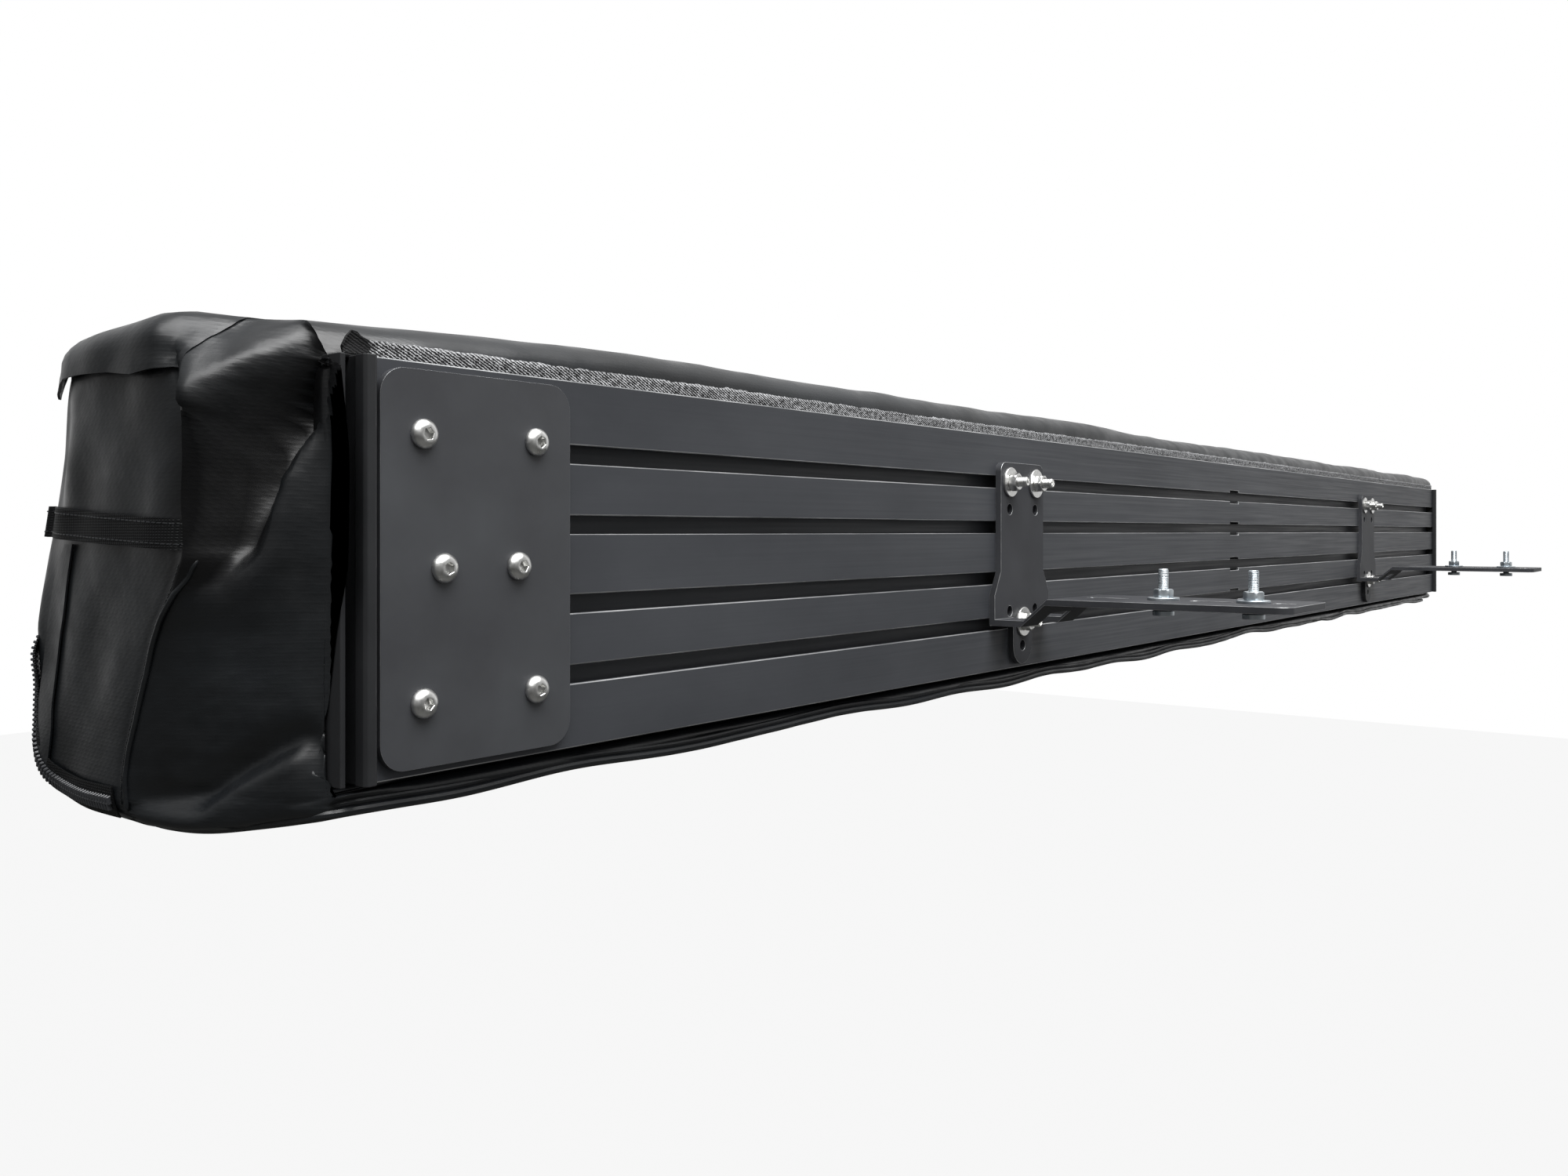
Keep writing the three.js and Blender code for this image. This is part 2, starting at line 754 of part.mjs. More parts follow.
function bracket(centre) {
  const wide = bracketHalfBottom;
  const face = towardsVehicle(bracketFace(centre), 0, bracketSheet);
  const armBody = alongX(bracketArmSide(), centre - wide, 2 * wide);
  const tongueReach = bracketFoldTop - tongueBottom;
  const half = tongueWidth / 2 + tongueGap;
  const notch = boxBetween(centre - half, centre + half, -tongueReach, -bracketSheet,
    bracketFoldTop - bracketSheet - cutOverrun, bracketSeatTop + cutOverrun);
  const tongueSlot = boxBetween(centre - half, centre + half, -bracketSheet, cutOverrun,
    bracketFoldTop - bracketSheet - cutOverrun, bracketFoldTop);
  const cornerCuts = [-1, 1].map((side) => {
    const square = new THREE.Shape();
    const x = centre + side * wide;
    const inX = x - side * seatCorner;
    const inY = -seatReach + seatCorner;
    square.moveTo(x + side * cutOverrun, inY);
    square.lineTo(x, inY);
    square.absarc(inX, inY, seatCorner, side > 0 ? 0 : 2 * rightAngle, 3 * rightAngle, side > 0);
    square.lineTo(inX, -seatReach - cutOverrun);
    square.lineTo(x + side * cutOverrun, -seatReach - cutOverrun);
    return upFrom(square, bracketSeatTop - bracketSheet - cutOverrun, bracketSheet + 2 * cutOverrun);
  });
  const hole = (x, z, radius = boltHoleRadius) =>
    rodAlongY(centre + x, z, -bracketSheet - cutOverrun, cutOverrun, radius);
  const holes = [-1, 1].flatMap((side) => [topGroove, spareHoleHigh, spareHoleLow].map((z) =>
    hole(side * bracketBoltHalf, z)));
  const studHoles = studPlaces.map((y) => rodAlongZ(centre, y,
    bracketSeatTop - bracketSheet - cutOverrun, bracketSeatTop + cutOverrun, boltHoleRadius));
  const armOnly = cut(armBody, notch, tongueSlot);
  return cut(join(face, armOnly), ...cornerCuts, ...holes, hole(0, lowestGroove),
    hole(0, tongueHole), ...studHoles, ...seatSlots.map((slot) => seatSlot(centre, slot)));
}

// Bolt with a square head in a plate groove, its nut and hexagon recess facing -Y
function bracketBolt(x, z) {
  const nutSeat = -bracketSheet - washerThickness;
  const nutEnd = nutSeat - nutHeight;
  const shank = rodAlongY(x, z, nutEnd - boltTail, slotHeadDepth + slotHeadHeight / 2, m8Radius);
  const nutRadius = nutFlats / 2 / Math.cos(Math.PI / 6);
  const nut = rodAlongY(x, z, nutEnd, nutSeat, nutRadius, 6);
  const head = boxBetween(x - slotHeadSize / 2, x + slotHeadSize / 2, slotHeadDepth,
    slotHeadDepth + slotHeadHeight, z - slotHeadSize / 2, z + slotHeadSize / 2);
  const recess = rodAlongY(x, z, nutEnd - boltTail - socketDepth, nutEnd - boltTail + socketDepth,
    socketRadius / 2, 6);
  return cut(join(shank, nut, head), recess);
}

function bracketWasher(x, z) {
  const body = rodAlongY(x, z, -bracketSheet - washerThickness, -bracketSheet, washerRadius);
  const bore = rodAlongY(x, z, -bracketSheet - washerThickness - cutOverrun, cutOverrun,
    m8Radius + clearance);
  return cut(body, bore);
}

// Stud that clamps the bracket's seat to a crossbar, with its nut on top. Its head
// stands below the seat by the thickness of the lips of the crossbar's slot.
function seatStud(x, y) {
  const headTop = bracketSeatTop - bracketSheet - crossbarLip;
  const nutSeat = bracketSeatTop + washerThickness;
  const shank = rodAlongZ(x, y, headTop - studHeadHeight / 2, bracketSeatTop + studHeight, m8Radius);
  const head = rodAlongZ(x, y, headTop - studHeadHeight, headTop, studHeadRadius);
  const nutRadius = nutFlats / 2 / Math.cos(Math.PI / 6);
  const nut = rodAlongZ(x, y, nutSeat, nutSeat + nutHeight, nutRadius, 6);
  return join(shank, head, nut);
}

function studWasher(x, y) {
  const body = rodAlongZ(x, y, bracketSeatTop, bracketSeatTop + washerThickness, washerRadius);
  const bore = rodAlongZ(x, y, bracketSeatTop - cutOverrun, bracketSeatTop + washerThickness
    + cutOverrun, m8Radius + clearance);
  return cut(body, bore);
}

// Assembly

add('back_plate', backPlate(), blackAluminium());
add('end_channel_near', upFrom(channelPlan(1, 0), 0, plateHeight), blackAluminium());
add('end_channel_far', upFrom(channelPlan(-1, plateLength), 0, plateHeight), blackAluminium());
add('hinge_plate', hingePlate(), blackSteel());
hingeBoltPlaces.forEach(([x, z], i) => {
  add(`hinge_bolt_${i + 1}`, hingeBolt(hingePlateMiddle + x, plateMiddle + z), stainlessSteel());
});
add('hinge_bracket', hingeBracket(), blackSteel());
add('hinge_pin', hingePin(), stainlessSteel());

for (let i = 0; i < armCount; i += 1) {
  add(`arm_${i + 1}`, arm(i), silverAluminium());
  add(`leg_${i + 1}`, leg(i), silverAluminium());
  add(`inner_leg_${i + 1}`, innerLeg(i), silverAluminium());
  add(`leg_foot_${i + 1}`, legFoot(i), footPlastic());
  if (i > 0) add(`canopy_pack_${i}`, canopyPack(i), canopyCloth());
}

add('bag_cover', bagCover(), bagVinyl());
add('edge_tape', edgeTape(), wovenBlack());
add('zip_tape', zipTape(), wovenBlack());
add('zip_slider', zipSlider(), blackSteel());
add('end_strap', endStrap(), wovenBlack());

bracketPlaces.forEach((centre, i) => {
  const side = i === 0 ? 'near' : 'far';
  add(`bracket_${side}`, bracket(centre), blackSteel());
  const boltPlaces = [
    [centre - bracketBoltHalf, topGroove],
    [centre + bracketBoltHalf, topGroove],
    [centre, lowestGroove],
  ];
  boltPlaces.forEach(([x, z], k) => {
    add(`bracket_bolt_${side}_${k + 1}`, bracketBolt(x, z), stainlessSteel());
    add(`bracket_washer_${side}_${k + 1}`, bracketWasher(x, z), stainlessSteel());
  });
  studPlaces.forEach((y, k) => {
    add(`seat_stud_${side}_${k + 1}`, seatStud(centre, y), zincPlate());
    add(`stud_washer_${side}_${k + 1}`, studWasher(centre, y), zincPlate());
  });
});

awning.position.set(-bracketPlaces[0] - seatPointSide, -seatSlots[1].centre,
  -bracketSeatTop + bracketSheet);

export default awning;
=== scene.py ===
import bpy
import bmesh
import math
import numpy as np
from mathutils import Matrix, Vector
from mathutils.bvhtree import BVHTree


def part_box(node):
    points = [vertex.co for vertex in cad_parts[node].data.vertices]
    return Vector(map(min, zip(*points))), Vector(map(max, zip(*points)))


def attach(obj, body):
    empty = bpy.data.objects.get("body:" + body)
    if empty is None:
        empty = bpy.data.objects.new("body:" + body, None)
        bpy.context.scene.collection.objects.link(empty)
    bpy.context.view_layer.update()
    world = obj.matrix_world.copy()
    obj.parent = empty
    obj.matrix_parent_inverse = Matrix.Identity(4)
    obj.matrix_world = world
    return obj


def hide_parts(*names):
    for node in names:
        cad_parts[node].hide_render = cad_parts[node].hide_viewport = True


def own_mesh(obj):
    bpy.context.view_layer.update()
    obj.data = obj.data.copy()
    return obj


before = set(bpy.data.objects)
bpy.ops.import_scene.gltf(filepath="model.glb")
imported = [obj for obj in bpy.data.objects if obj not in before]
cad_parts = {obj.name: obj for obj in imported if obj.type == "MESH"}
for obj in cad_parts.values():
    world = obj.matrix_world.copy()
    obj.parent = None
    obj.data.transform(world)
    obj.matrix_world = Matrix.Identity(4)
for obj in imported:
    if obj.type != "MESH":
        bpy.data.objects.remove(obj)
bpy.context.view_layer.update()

# %% [markdown]
# # A packed side awning on its two brackets
# The awning is a long aluminium plate with a black bag behind it. Four arms turn on one tall pin at
# the near end, and the canopy lies folded between them inside the bag. The solids come in as a fixed
# frame, and each cell below gives one of them its look or puts a finer piece in its place.
# The numbers are in millimetres from the plate's near bottom corner, because that is how such an
# extrusion is measured, and one function turns them into the frame's metres.

zero = np.array(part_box("back_plate")[0])
plate_length, plate_height = 2285.0, 190.0
bracket_x = (620, 1775)
zip_z = 78


def at(points):
    """Drawn millimetres to the frame's metres, for one point or an array of them."""
    return zero + np.asarray(points, float) / 1000.0


# %% [markdown]
# The camera stands beside the hinge end, a little higher than the plate's middle, and looks along
# the awning. The plate's own height and the point where its long edges meet give its place.
# The picture's horizon is above its middle, so the lens is shifted instead of tilted.

# %% Camera
photo_width, focal_px, horizon_px, photo_height = 2000, 1623, 678, 1500
camera_data = bpy.data.cameras.new("photo_camera")
camera_data.sensor_width = 36
camera_data.lens = 36 * focal_px / photo_width
camera_data.shift_y = (horizon_px - photo_height / 2) / photo_width
camera_data.clip_start, camera_data.clip_end = 0.01, 60
camera = bpy.data.objects.new("photo_camera", camera_data)
camera.location = Vector(at((-331, -489, 112)))
camera.rotation_euler = (math.radians(90), 0, math.radians(-52.4))
bpy.context.scene.collection.objects.link(camera)
bpy.context.scene.camera = camera
bpy.context.scene.view_settings.view_transform = "Standard"
print("lens", round(camera_data.lens, 1), "mm, shift", round(camera_data.shift_y, 3))

# %% [markdown]
# Every material below is a small graph of nodes. One function turns a colour from the web into the
# linear values that the shader wants, and one adds a node with its settings and its links.

# %% Colours and nodes


def linear(code):
    """An sRGB hex colour as linear red, green, blue and alpha."""
    parts = [int(code[i:i + 2], 16) / 255 for i in (1, 3, 5)]
    return [p / 12.92 if p <= 0.04045 else ((p + 0.055) / 1.055) ** 2.4 for p in parts] + [1.0]


def add(tree, kind, inputs=None, out=None, stops=(), **settings):
    """A node with its settings, its inputs as values or links and its ramp's stops, or one output."""
    made = tree.nodes.new(kind)
    for name, value in settings.items():
        setattr(made, name, value)
    for name, value in (inputs or {}).items():
        if isinstance(value, bpy.types.NodeSocket):
            tree.links.new(value, made.inputs[name])
        else:
            made.inputs[name].default_value = value
    for k, (place, code) in enumerate(stops):
        made.color_ramp.elements[k].position = place
        made.color_ramp.elements[k].color = linear(code)
    return made if out is None else made.outputs[out]


print("middle grey is", round(linear("#808080")[0], 3), "of full light")

# %% [markdown]
# A finish on a real piece is never one flat value: its colour drifts, its sheen has patches, and its
# surface has a grain. So a finish is built from patterns. Most patterns are noise with a grain of a
# known size, and a few are drawn by a function of their own, such as a weave.

# %% A finish from patterns
wave_mm = 100 * math.pi  # a wave texture of Scale s has a band every wave_mm / s millimetres


def finish(name, colours, rough=None, bumps=(), **values):
    """A material whose colour, roughness and relief follow patterns.

    A pattern is a function that draws one, or noise as (grain in mm, detail, roughness, stretch).
    colours and rough are a pattern, the two ends of the range and, where those aren't reached at 0
    and 1, the pattern's values there. Each bump is a pattern, a depth in mm and a strength.
    """
    made = bpy.data.materials.new(name)
    made.use_nodes = True
    tree, drawn = made.node_tree, {}
    shader = tree.nodes["Principled BSDF"]
    where = add(tree, "ShaderNodeTexCoord", out="Object")
    for socket, value in values.items():
        shader.inputs[socket.replace("_", " ")].default_value = value

    def seen(pattern):
        """The pattern's socket, drawn once in each material."""
        if pattern not in drawn and callable(pattern):
            drawn[pattern] = pattern(tree, where)
        elif pattern not in drawn:
            usual = (1.0, 3.0, 0.5, (1, 1, 1))
            grain_mm, detail, fine, stretch = (*pattern, *usual[len(pattern):])
            place = add(tree, "ShaderNodeVectorMath", {0: where, 1: stretch}, 0, operation="MULTIPLY")
            drawn[pattern] = add(tree, "ShaderNodeTexNoise", {
                "Vector": place, "Scale": 500 / grain_mm, "Detail": detail, "Roughness": fine}, "Fac")
        return drawn[pattern]

    pattern, dark, light, *span = colours
    tint = add(tree, "ShaderNodeValToRGB", {"Fac": seen(pattern)}, "Color",
        zip(span or (0, 1), (dark, light)))
    tree.links.new(tint, shader.inputs["Base Color"])
    if rough:
        pattern, low, high, *span = rough
        start, end = span or (0, 1)
        level = add(tree, "ShaderNodeMapRange", {"Value": seen(pattern), "From Min": start, "From Max": end,
            "To Min": low, "To Max": high}, "Result")
        tree.links.new(level, shader.inputs["Roughness"])
    for pattern, depth_mm, strength in bumps:
        bump = add(tree, "ShaderNodeBump", {"Height": seen(pattern), "Strength": strength,
            "Distance": depth_mm / 1000})
        for below in shader.inputs["Normal"].links:
            tree.links.new(below.from_socket, bump.inputs["Normal"])
        tree.links.new(bump.outputs["Normal"], shader.inputs["Normal"])
    return made


def crossing(distortion, *bands):
    """A pattern of bands that cross, each given by its spacing in mm and its direction."""
    def pattern(tree, where):
        product = None
        for mm, way in bands:
            band = add(tree, "ShaderNodeTexWave",
                {"Vector": where, "Scale": wave_mm / mm, "Distortion": distortion},
                "Fac", bands_direction=way)
            product = band if product is None else add(tree, "ShaderNodeMath", {0: product, 1: band}, 0,
                operation="MULTIPLY")
        return product
    return pattern


print("a wave texture of Scale 160 has a band every", round(wave_mm / 160, 2), "mm")

# %% [markdown]
# ## The bag
# The bag is PVC coated cloth, sewn from one long sheet and an end panel, and its edge cords slide
# into slots at the plate's ends. Packed cloth is fuller than its pattern, so the near corner falls
# into folds between the seam and the slot. A cloth simulation would make folds of its own, in other
# places, so the form is worked out in code: a smooth cross-section drawn through points, carried
# along the plate with low waves, and an end whose depth is a function of the place on it.

# %% Lines through points


def even(fine, count, shares=None):
    """Points of a line again, at equal distances or at the given shares of its length."""
    run = run_along(fine)
    want = (np.linspace(0, 1, count) if shares is None else shares) * run[-1]
    return np.stack([np.interp(want, run, fine[:, k]) for k in range(fine.shape[1])], axis=1)


def run_along(path):
    """The length of a path up to each of its points."""
    return np.concatenate([[0], np.cumsum(np.linalg.norm(np.diff(path, axis=0), axis=1))])


def smooth_path(points, count, closed=False):
    """A rounded line through the points, with its vertices at equal distances."""
    p = np.asarray(points, float)
    before, after = (p[-1:], p[:2]) if closed else (2 * p[:1] - p[1:2], 2 * p[-1:] - p[-2:-1])
    q = np.vstack([before, p, after])
    t = np.linspace(0, 1, 24, endpoint=False)[:, None]
    parts = [0.5 * (2 * b + (c - a) * t + (2 * a - 5 * b + 4 * c - d) * t ** 2
        + (3 * b - a - 3 * c + d) * t ** 3) for a, b, c, d in zip(q[:-3], q[1:-2], q[2:-1], q[3:])]
    return even(np.vstack(parts + [p[:1] if closed else p[-1:]]), count)


def away(y, z, line):
    """How far each point (y, z) is from a line of points, and where along it, from 0 to 1."""
    line = np.asarray(line, float)
    best, along = np.full(np.shape(y), 1e9), np.zeros(np.shape(y))
    for k, (a, b) in enumerate(zip(line[:-1], line[1:])):
        ab = b - a
        t = np.clip(((y - a[0]) * ab[0] + (z - a[1]) * ab[1]) / max(ab @ ab, 1e-9), 0, 1)
        d = np.hypot(y - a[0] - t * ab[0], z - a[1] - t * ab[1])
        along = np.where(d < best, (k + t) / (len(line) - 1), along)
        best = np.minimum(best, d)
    return best, along


print("a line through 3 points:", len(smooth_path([(0, 0), (1, 1), (2, 0)], 9)), "points")

# %% Shares, bells and waves


def rising(value, start, end):
    """0 up to start, 1 from end on, and even between them."""
    return np.clip((value - start) / (end - start), 0, 1)


def eased(share):
    """A share that leaves 0 and reaches 1 gently."""
    return share * share * (3 - 2 * share)


def bell(value, middle, width):
    """1 at the middle, and down to a third one width away."""
    return np.exp(-((value - middle) / width) ** 2)


def waves(a, b, size, seed):
    """Soft irregular waves between about -1 and 1, from a few crossing sines with a fixed seed."""
    pick, count, total = np.random.default_rng(seed), 7, 0
    for _ in range(count):
        turn, length = pick.uniform(0, 2 * np.pi), size * pick.uniform(0.6, 1.7)
        total = total + np.sin(2 * np.pi * (a * np.cos(turn) + b * np.sin(turn)) / length
            + pick.uniform(0, 2 * np.pi))
    return total / math.sqrt(count) / 1.4


print("a wave of seed 3 at the corner:", round(float(waves(0.0, 0.0, 60, 3)), 3))

# %% Meshes from points


def linked(name, mesh):
    """A new object in the scene."""
    made = bpy.data.objects.new(name, mesh)
    bpy.context.scene.collection.objects.link(made)
    return made


def filled(name, work):
    """An object from a bmesh, which is used up."""
    mesh = bpy.data.meshes.new(name)
    work.to_mesh(mesh)
    work.free()
    return linked(name, mesh)


def solid_from(name, points_mm, faces, material, crease=180):
    """A mesh object from drawn millimetres, merged, whose edges over crease degrees stay sharp."""
    mesh = bpy.data.meshes.new(name)
    mesh.from_pydata([tuple(p) for p in at(points_mm)], [], faces)
    work = bmesh.new()
    work.from_mesh(mesh)
    bmesh.ops.remove_doubles(work, verts=work.verts, dist=1e-6)
    bmesh.ops.recalc_face_normals(work, faces=work.faces)
    work.to_mesh(mesh)
    work.free()
    mesh.polygons.foreach_set("use_smooth", [True] * len(mesh.polygons))
    if crease < 180:
        mesh.set_sharp_from_angle(angle=math.radians(crease))
    mesh.materials.append(material)
    return linked(name, mesh)


def ring_faces(rings, around, closed=True, base=0):
    """Quads between rings of the same number of points, which lie one after the other."""
    return [(base + r * around + i, base + r * around + (i + 1) % around,
        base + (r + 1) * around + (i + 1) % around, base + (r + 1) * around + i)
        for r in range(rings - 1) for i in range(around if closed else around - 1)]


def closed_faces(rings, around):
    """The quads between rings, and a face over each end."""
    last = (rings - 1) * around
    return ring_faces(rings, around) + [tuple(range(around))[::-1], tuple(range(last, last + around))]


print("three rings of four make", len(closed_faces(3, 4)), "faces")

# %% [markdown]
# ### The section
# The bag's section is drawn once, as one smooth line through the places where its four sides bend.
# Each side is then cut into the same number of parts as the side across from it, so that the ends
# can be filled with a grid that meets every ring.

# %% The bag's cross-section
back_side = [(17, -3), (18.5, 20), (18.5, 95), (18.5, 170), (17, 188)]
top_side = [(17, 188), (11.5, 191.6), (6.5, 192.6), (4.6, 196.5), (6, 203), (12, 209), (22, 212.5), (38, 213.8),
    (70, 213.5), (110, 211.5), (150, 209.5), (174, 207), (187, 201)]
front_side = [(187, 201), (194.5, 188), (196, 160), (195.5, 110), (195.8, 60), (194.5, 20), (190, -3),
    (182, -12)]
bottom_side = [(182, -12), (170, -17.5), (140, -21), (100, -22.3), (60, -21), (35, -17), (18, -13.5),
    (9.5, -11.5), (6.5, -7.5), (10, -3.8), (17, -3)]
sides = (back_side, top_side, front_side, bottom_side)
fine = smooth_path([p for side in sides for p in side[:-1]], 4001, closed=True)
corners = [int(np.argmin(np.hypot(*(fine[:-1] - side[0]).T))) for side in sides]
count_y, count_z = 84, 104


def crowded(count, amount):
    """Shares from 0 to 1 that lie closer together at both ends, where the section bends."""
    share = np.linspace(0, 1, count + 1)
    return share - amount * np.sin(2 * np.pi * share) / (2 * np.pi)


def side_of(k, shares):
    """One side of the section, between two of its corners, with points at the given shares."""
    first, last = corners[k], corners[(k + 1) % 4] if k < 3 else 4000
    part = fine[first:last + 1] if last > first else np.vstack([fine[first:-1], fine[:last + 1]])
    return even(part, len(shares), shares)


share_y, share_z = crowded(count_y, 0.6), crowded(count_z, 0.4)
left, top = side_of(0, share_z), side_of(1, share_y)
right, bottom = side_of(2, 1 - share_z[::-1])[::-1], side_of(3, 1 - share_y[::-1])[::-1]
loop = np.vstack([left[:-1], top[:-1], right[:0:-1], bottom[:0:-1]])
print("section", len(loop), "points,", round(np.ptp(loop[:, 0])), "x", round(np.ptp(loop[:, 1])), "mm")

# %% [markdown]
# ### The near end
# The end's depth starts from two flats that meet at the corner seam: the end panel, and a slope that
# runs from the seam to the slot at the plate. The pleat, the full fold at the top, the dark hollow
# under it and the flap at the bottom are then added as ridges and troughs along lines.

# %% Seam, hollow and rounded edge
seam_line = np.array([(95.8, -14), (92.7, 7), (84, 29), (74.6, 50), (65.5, 69), (53, 85), (44, 100),
    (42.4, 115),
    (42, 130), (41, 144), (42.4, 159), (47, 174), (54.5, 196.5), (60, 214)])
hollow_line = np.array([(47, 97), (41, 107), (39, 120), (36, 138), (30, 155), (22, 171), (12, 186), (4, 198)])
slot_face = -11.4


def lean(y, z):
    """How far the end's outer part leans back at the top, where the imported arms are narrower."""
    back = np.interp(z, [20, 65, 100, 120, 150, 195, 210], [0, 0, 4, 7, 11, 15, 16])
    return back * eased(rising(y, 140, 185))


def end_border(y, z):
    """The x at which the end's rounding starts, at each (y, z)."""
    leans_in = 17 * bell(y, 38, 18) * rising(z, 178, 206)
    return np.interp(y, [8, 25, 45, 70, 196], [slot_face, -22, -36, -44, -44]) + lean(y, z) + leans_in


def edge_radius(y):
    """The radius of the end's rounded edge, tight beside the slot and full in front."""
    return np.interp(y, [8, 40, 70, 196], [5, 12, 15, 15])


def round_share(y, z, radius):
    """How far the end's rounded edge has come, from 0 on the border to 1 at its radius."""
    inwards = np.clip(away(y, z, np.vstack([loop, loop[:1]]))[0] / radius, 0, 1)
    return np.sqrt(1 - (1 - inwards) ** 2)


print("seam", round(run_along(seam_line)[-1]), "mm, hollow", round(run_along(hollow_line)[-1]), "mm long")

# %% Folds of the near end


def two_flats(y, z, seam_y, fall):
    """The end panel in front of the seam, and the slope that falls from the seam to the slot."""
    panel = -59.6 + 1.8 * ((y - 118) / 75) ** 2 + 0.9 * waves(y, z, 60, 3) * rising(y, seam_y, seam_y + 30)
    return np.where(y >= seam_y, panel, -59 + (59 + slot_face) * fall ** 1.05)


def hollow(y, z):
    """The hollow, steep on its lower side, and the full fold that stands out above it."""
    far_from, along = away(y, z, hollow_line)
    depth = np.interp(along, [0, 0.12, 0.4, 0.7, 0.88, 1], [18, 31, 40, 34, 20, 8])
    rise = eased(rising(far_from, 0, np.interp(along, [0, 0.3, 0.6, 1], [8, 12, 17, 22])))
    full = 15.0 * rising(z, 112, 167) * bell(y, 36, 24)
    above = z > np.interp(y, *hollow_line[::-1].T)
    return np.where(above, depth - (depth + full) * rise, depth * bell(far_from, 0, 10.5))


def turned_under(y, z):
    """The cloth's lower edge, which turns in under a low ridge."""
    fold_z = np.interp(y, [7, 18, 26, 36, 46, 60, 96], [12, 20, 16, 10, 3, -8, -12])
    return 5.0 * bell(z, fold_z + 3, 7) - 7.0 * eased(rising(z, fold_z + 4, fold_z - 12))


def along_seam(y, z, seam_y):
    """The pleat over the upper seam, and the groove of the lower seam."""
    beyond, behind, before = y > seam_y + 0.2, np.clip(y - seam_y, 0, 60), np.clip(seam_y - y, 0, 60)
    pleat = rising(z, 98, 123) * rising(z, 207, 193)
    ridge = pleat * np.where(beyond, 7.0 * np.exp(-behind / 9), -2.2 * bell(before, 0, 4))
    return ridge + rising(z, 106, 98) * beyond * 2.2 * np.exp(-behind / 3.0)


def near_depth(y, z):
    """The near end's x in drawn millimetres at each (y, z); less is further out."""
    seam_y = np.interp(z, seam_line[:, 1], seam_line[:, 0])
    fall = rising(y, seam_y, 8)
    inside = np.clip(fall * (1 - fall) * 4, 0, 1)
    x = two_flats(y, z, seam_y, fall) + hollow(y, z) * inside ** 0.45 + turned_under(y, z) * inside ** 0.4
    rolled_in = rising(z, 146, 212) ** 1.9 * rising(y, seam_y + 6, seam_y - 12) * rising(y, 8, 20)
    x = x + 32 * rolled_in + along_seam(y, z, seam_y)
    crease = waves(y * 1.9 + z * 0.35, z * 0.55, 15, 11) * bell(z, 158, 36)
    x = x - (0.9 * crease + 0.35 * waves(y, z, 9, 12)) * inside
    gather = rising(y, 8.5, 15.5)
    return slot_face - (slot_face - x) * gather * (2 - gather) + lean(y, z)


print("depth in the hollow:", round(float(near_depth(np.array(38.0), np.array(125.0))), 1), "mm")

# %% [markdown]
# A grid fills the section between its four sides. At the near end the cloth turns in to the slot
# beside the plate, so its places are pulled in there, and one column of the grid is laid along the
# seam, so that the corner between the two flats is a clean line.

# %% The near end's grid
u, v = share_y[None, :, None], share_z[:, None, None]
grid = ((1 - v) * bottom[None] + v * top[None] + (1 - u) * left[:, None] + u * right[:, None]
    - ((1 - u) * (1 - v) * bottom[0] + u * (1 - v) * bottom[-1] + (1 - u) * v * top[0] + u * v * top[-1]))
gy, gz = grid[..., 0], grid[..., 1]


def pulled_in(y, z):
    """The section's y at the near end, where the cloth turns in to the slot beside the plate."""
    top_z, low_z = [188, 192.6, 196.5, 203, 209, 212.5], [-14, -11, -6, 2]
    edge = np.where(z > 188, np.interp(z, top_z, [9, 9.5, 11, 14.5, 19.5, 26]),
        np.where(z < 0, np.interp(z, low_z, [12, 9, 8.5, 9]), 9.0))
    first = np.where(z < 188, 18, np.interp(z, top_z, [17, 6.5, 4.6, 6, 12, 22]))
    first = np.where(z < 0, np.interp(z, [-13.5, -11.5, -7.5, -3], [18, 9.5, 6.5, 17]), first)
    return y + (edge - first) * rising(y, 40, 18) ** 1.5


seam_column = int(np.argmin(np.abs(gy[count_z // 2] - 56)))
seam_at = np.interp(gz[:, seam_column], seam_line[:, 1], seam_line[:, 0])
row = np.arange(count_z + 1)
rows_fade = np.clip(np.minimum(row / 9, (count_z - row) / 5), 0, 1)
column_share = np.interp(np.arange(count_y + 1), [0, seam_column, count_y], [0, 1, 0])
gy = gy + ((seam_at - gy[:, seam_column]) * rows_fade)[:, None] * column_share[None]
gy_near = pulled_in(gy, gz)
border_x = end_border(gy_near, gz)
near_x = border_x + (near_depth(gy_near, gz) - border_x) * round_share(gy, gz, edge_radius(gy_near))
print("near end reaches x", round(near_x.min(), 1), "mm")

# %% [markdown]
# ### Coated cloth
# The coat is smooth and faintly glossy, so the cloth shows by its sheen more than by its colour. Soft
# crumples 24 mm wide break the sheen, and the threads show through the coat as a fine relief. Deep in
# the hollow little light gets out again, so shade is painted there: a value on each vertex darkens the
# colour towards black.

# %% Cloth of the bag
# A thread every 2 mm, four times as coarse as the real ones, which would be too fine to see
threads = crossing(0.4, (1.9635, "Z"), (1.9635, "DIAGONAL"))
# PVC coat: a deep black with soft, satin highlights
crumple = (24, 5, 0.55, (0.6, 1, 1))
cloth_pvc = finish("pvc_coated_polyester", (crumple, "#0F1113", "#1D2023", 0.32, 0.72),
    ((9, 4), 0.3, 0.46, 0.3, 0.7), [(crumple, 2.4, 0.4), (threads, 0.1, 0.25)])
tree = cloth_pvc.node_tree
base = tree.nodes["Principled BSDF"].inputs["Base Color"]
# Painted shade: where the vertex value is high, deep in the hollow, the colour is mixed towards black
painted_fold_shade = add(tree, "ShaderNodeAttribute", out="Fac", attribute_name="painted_fold_shade")
tree.links.new(add(tree, "ShaderNodeMix", {"Factor": painted_fold_shade, "A": base.links[0].from_socket,
    "B": linear("#020203")}, "Result", data_type="RGBA"), base)
print("cloth:", len(tree.nodes), "nodes")

# %% [markdown]
# The rest of the bag is rings between the two ends. Their waves are low along the top, where the
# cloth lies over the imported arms, and deeper below, where it hangs free.

# %% The bag's skin


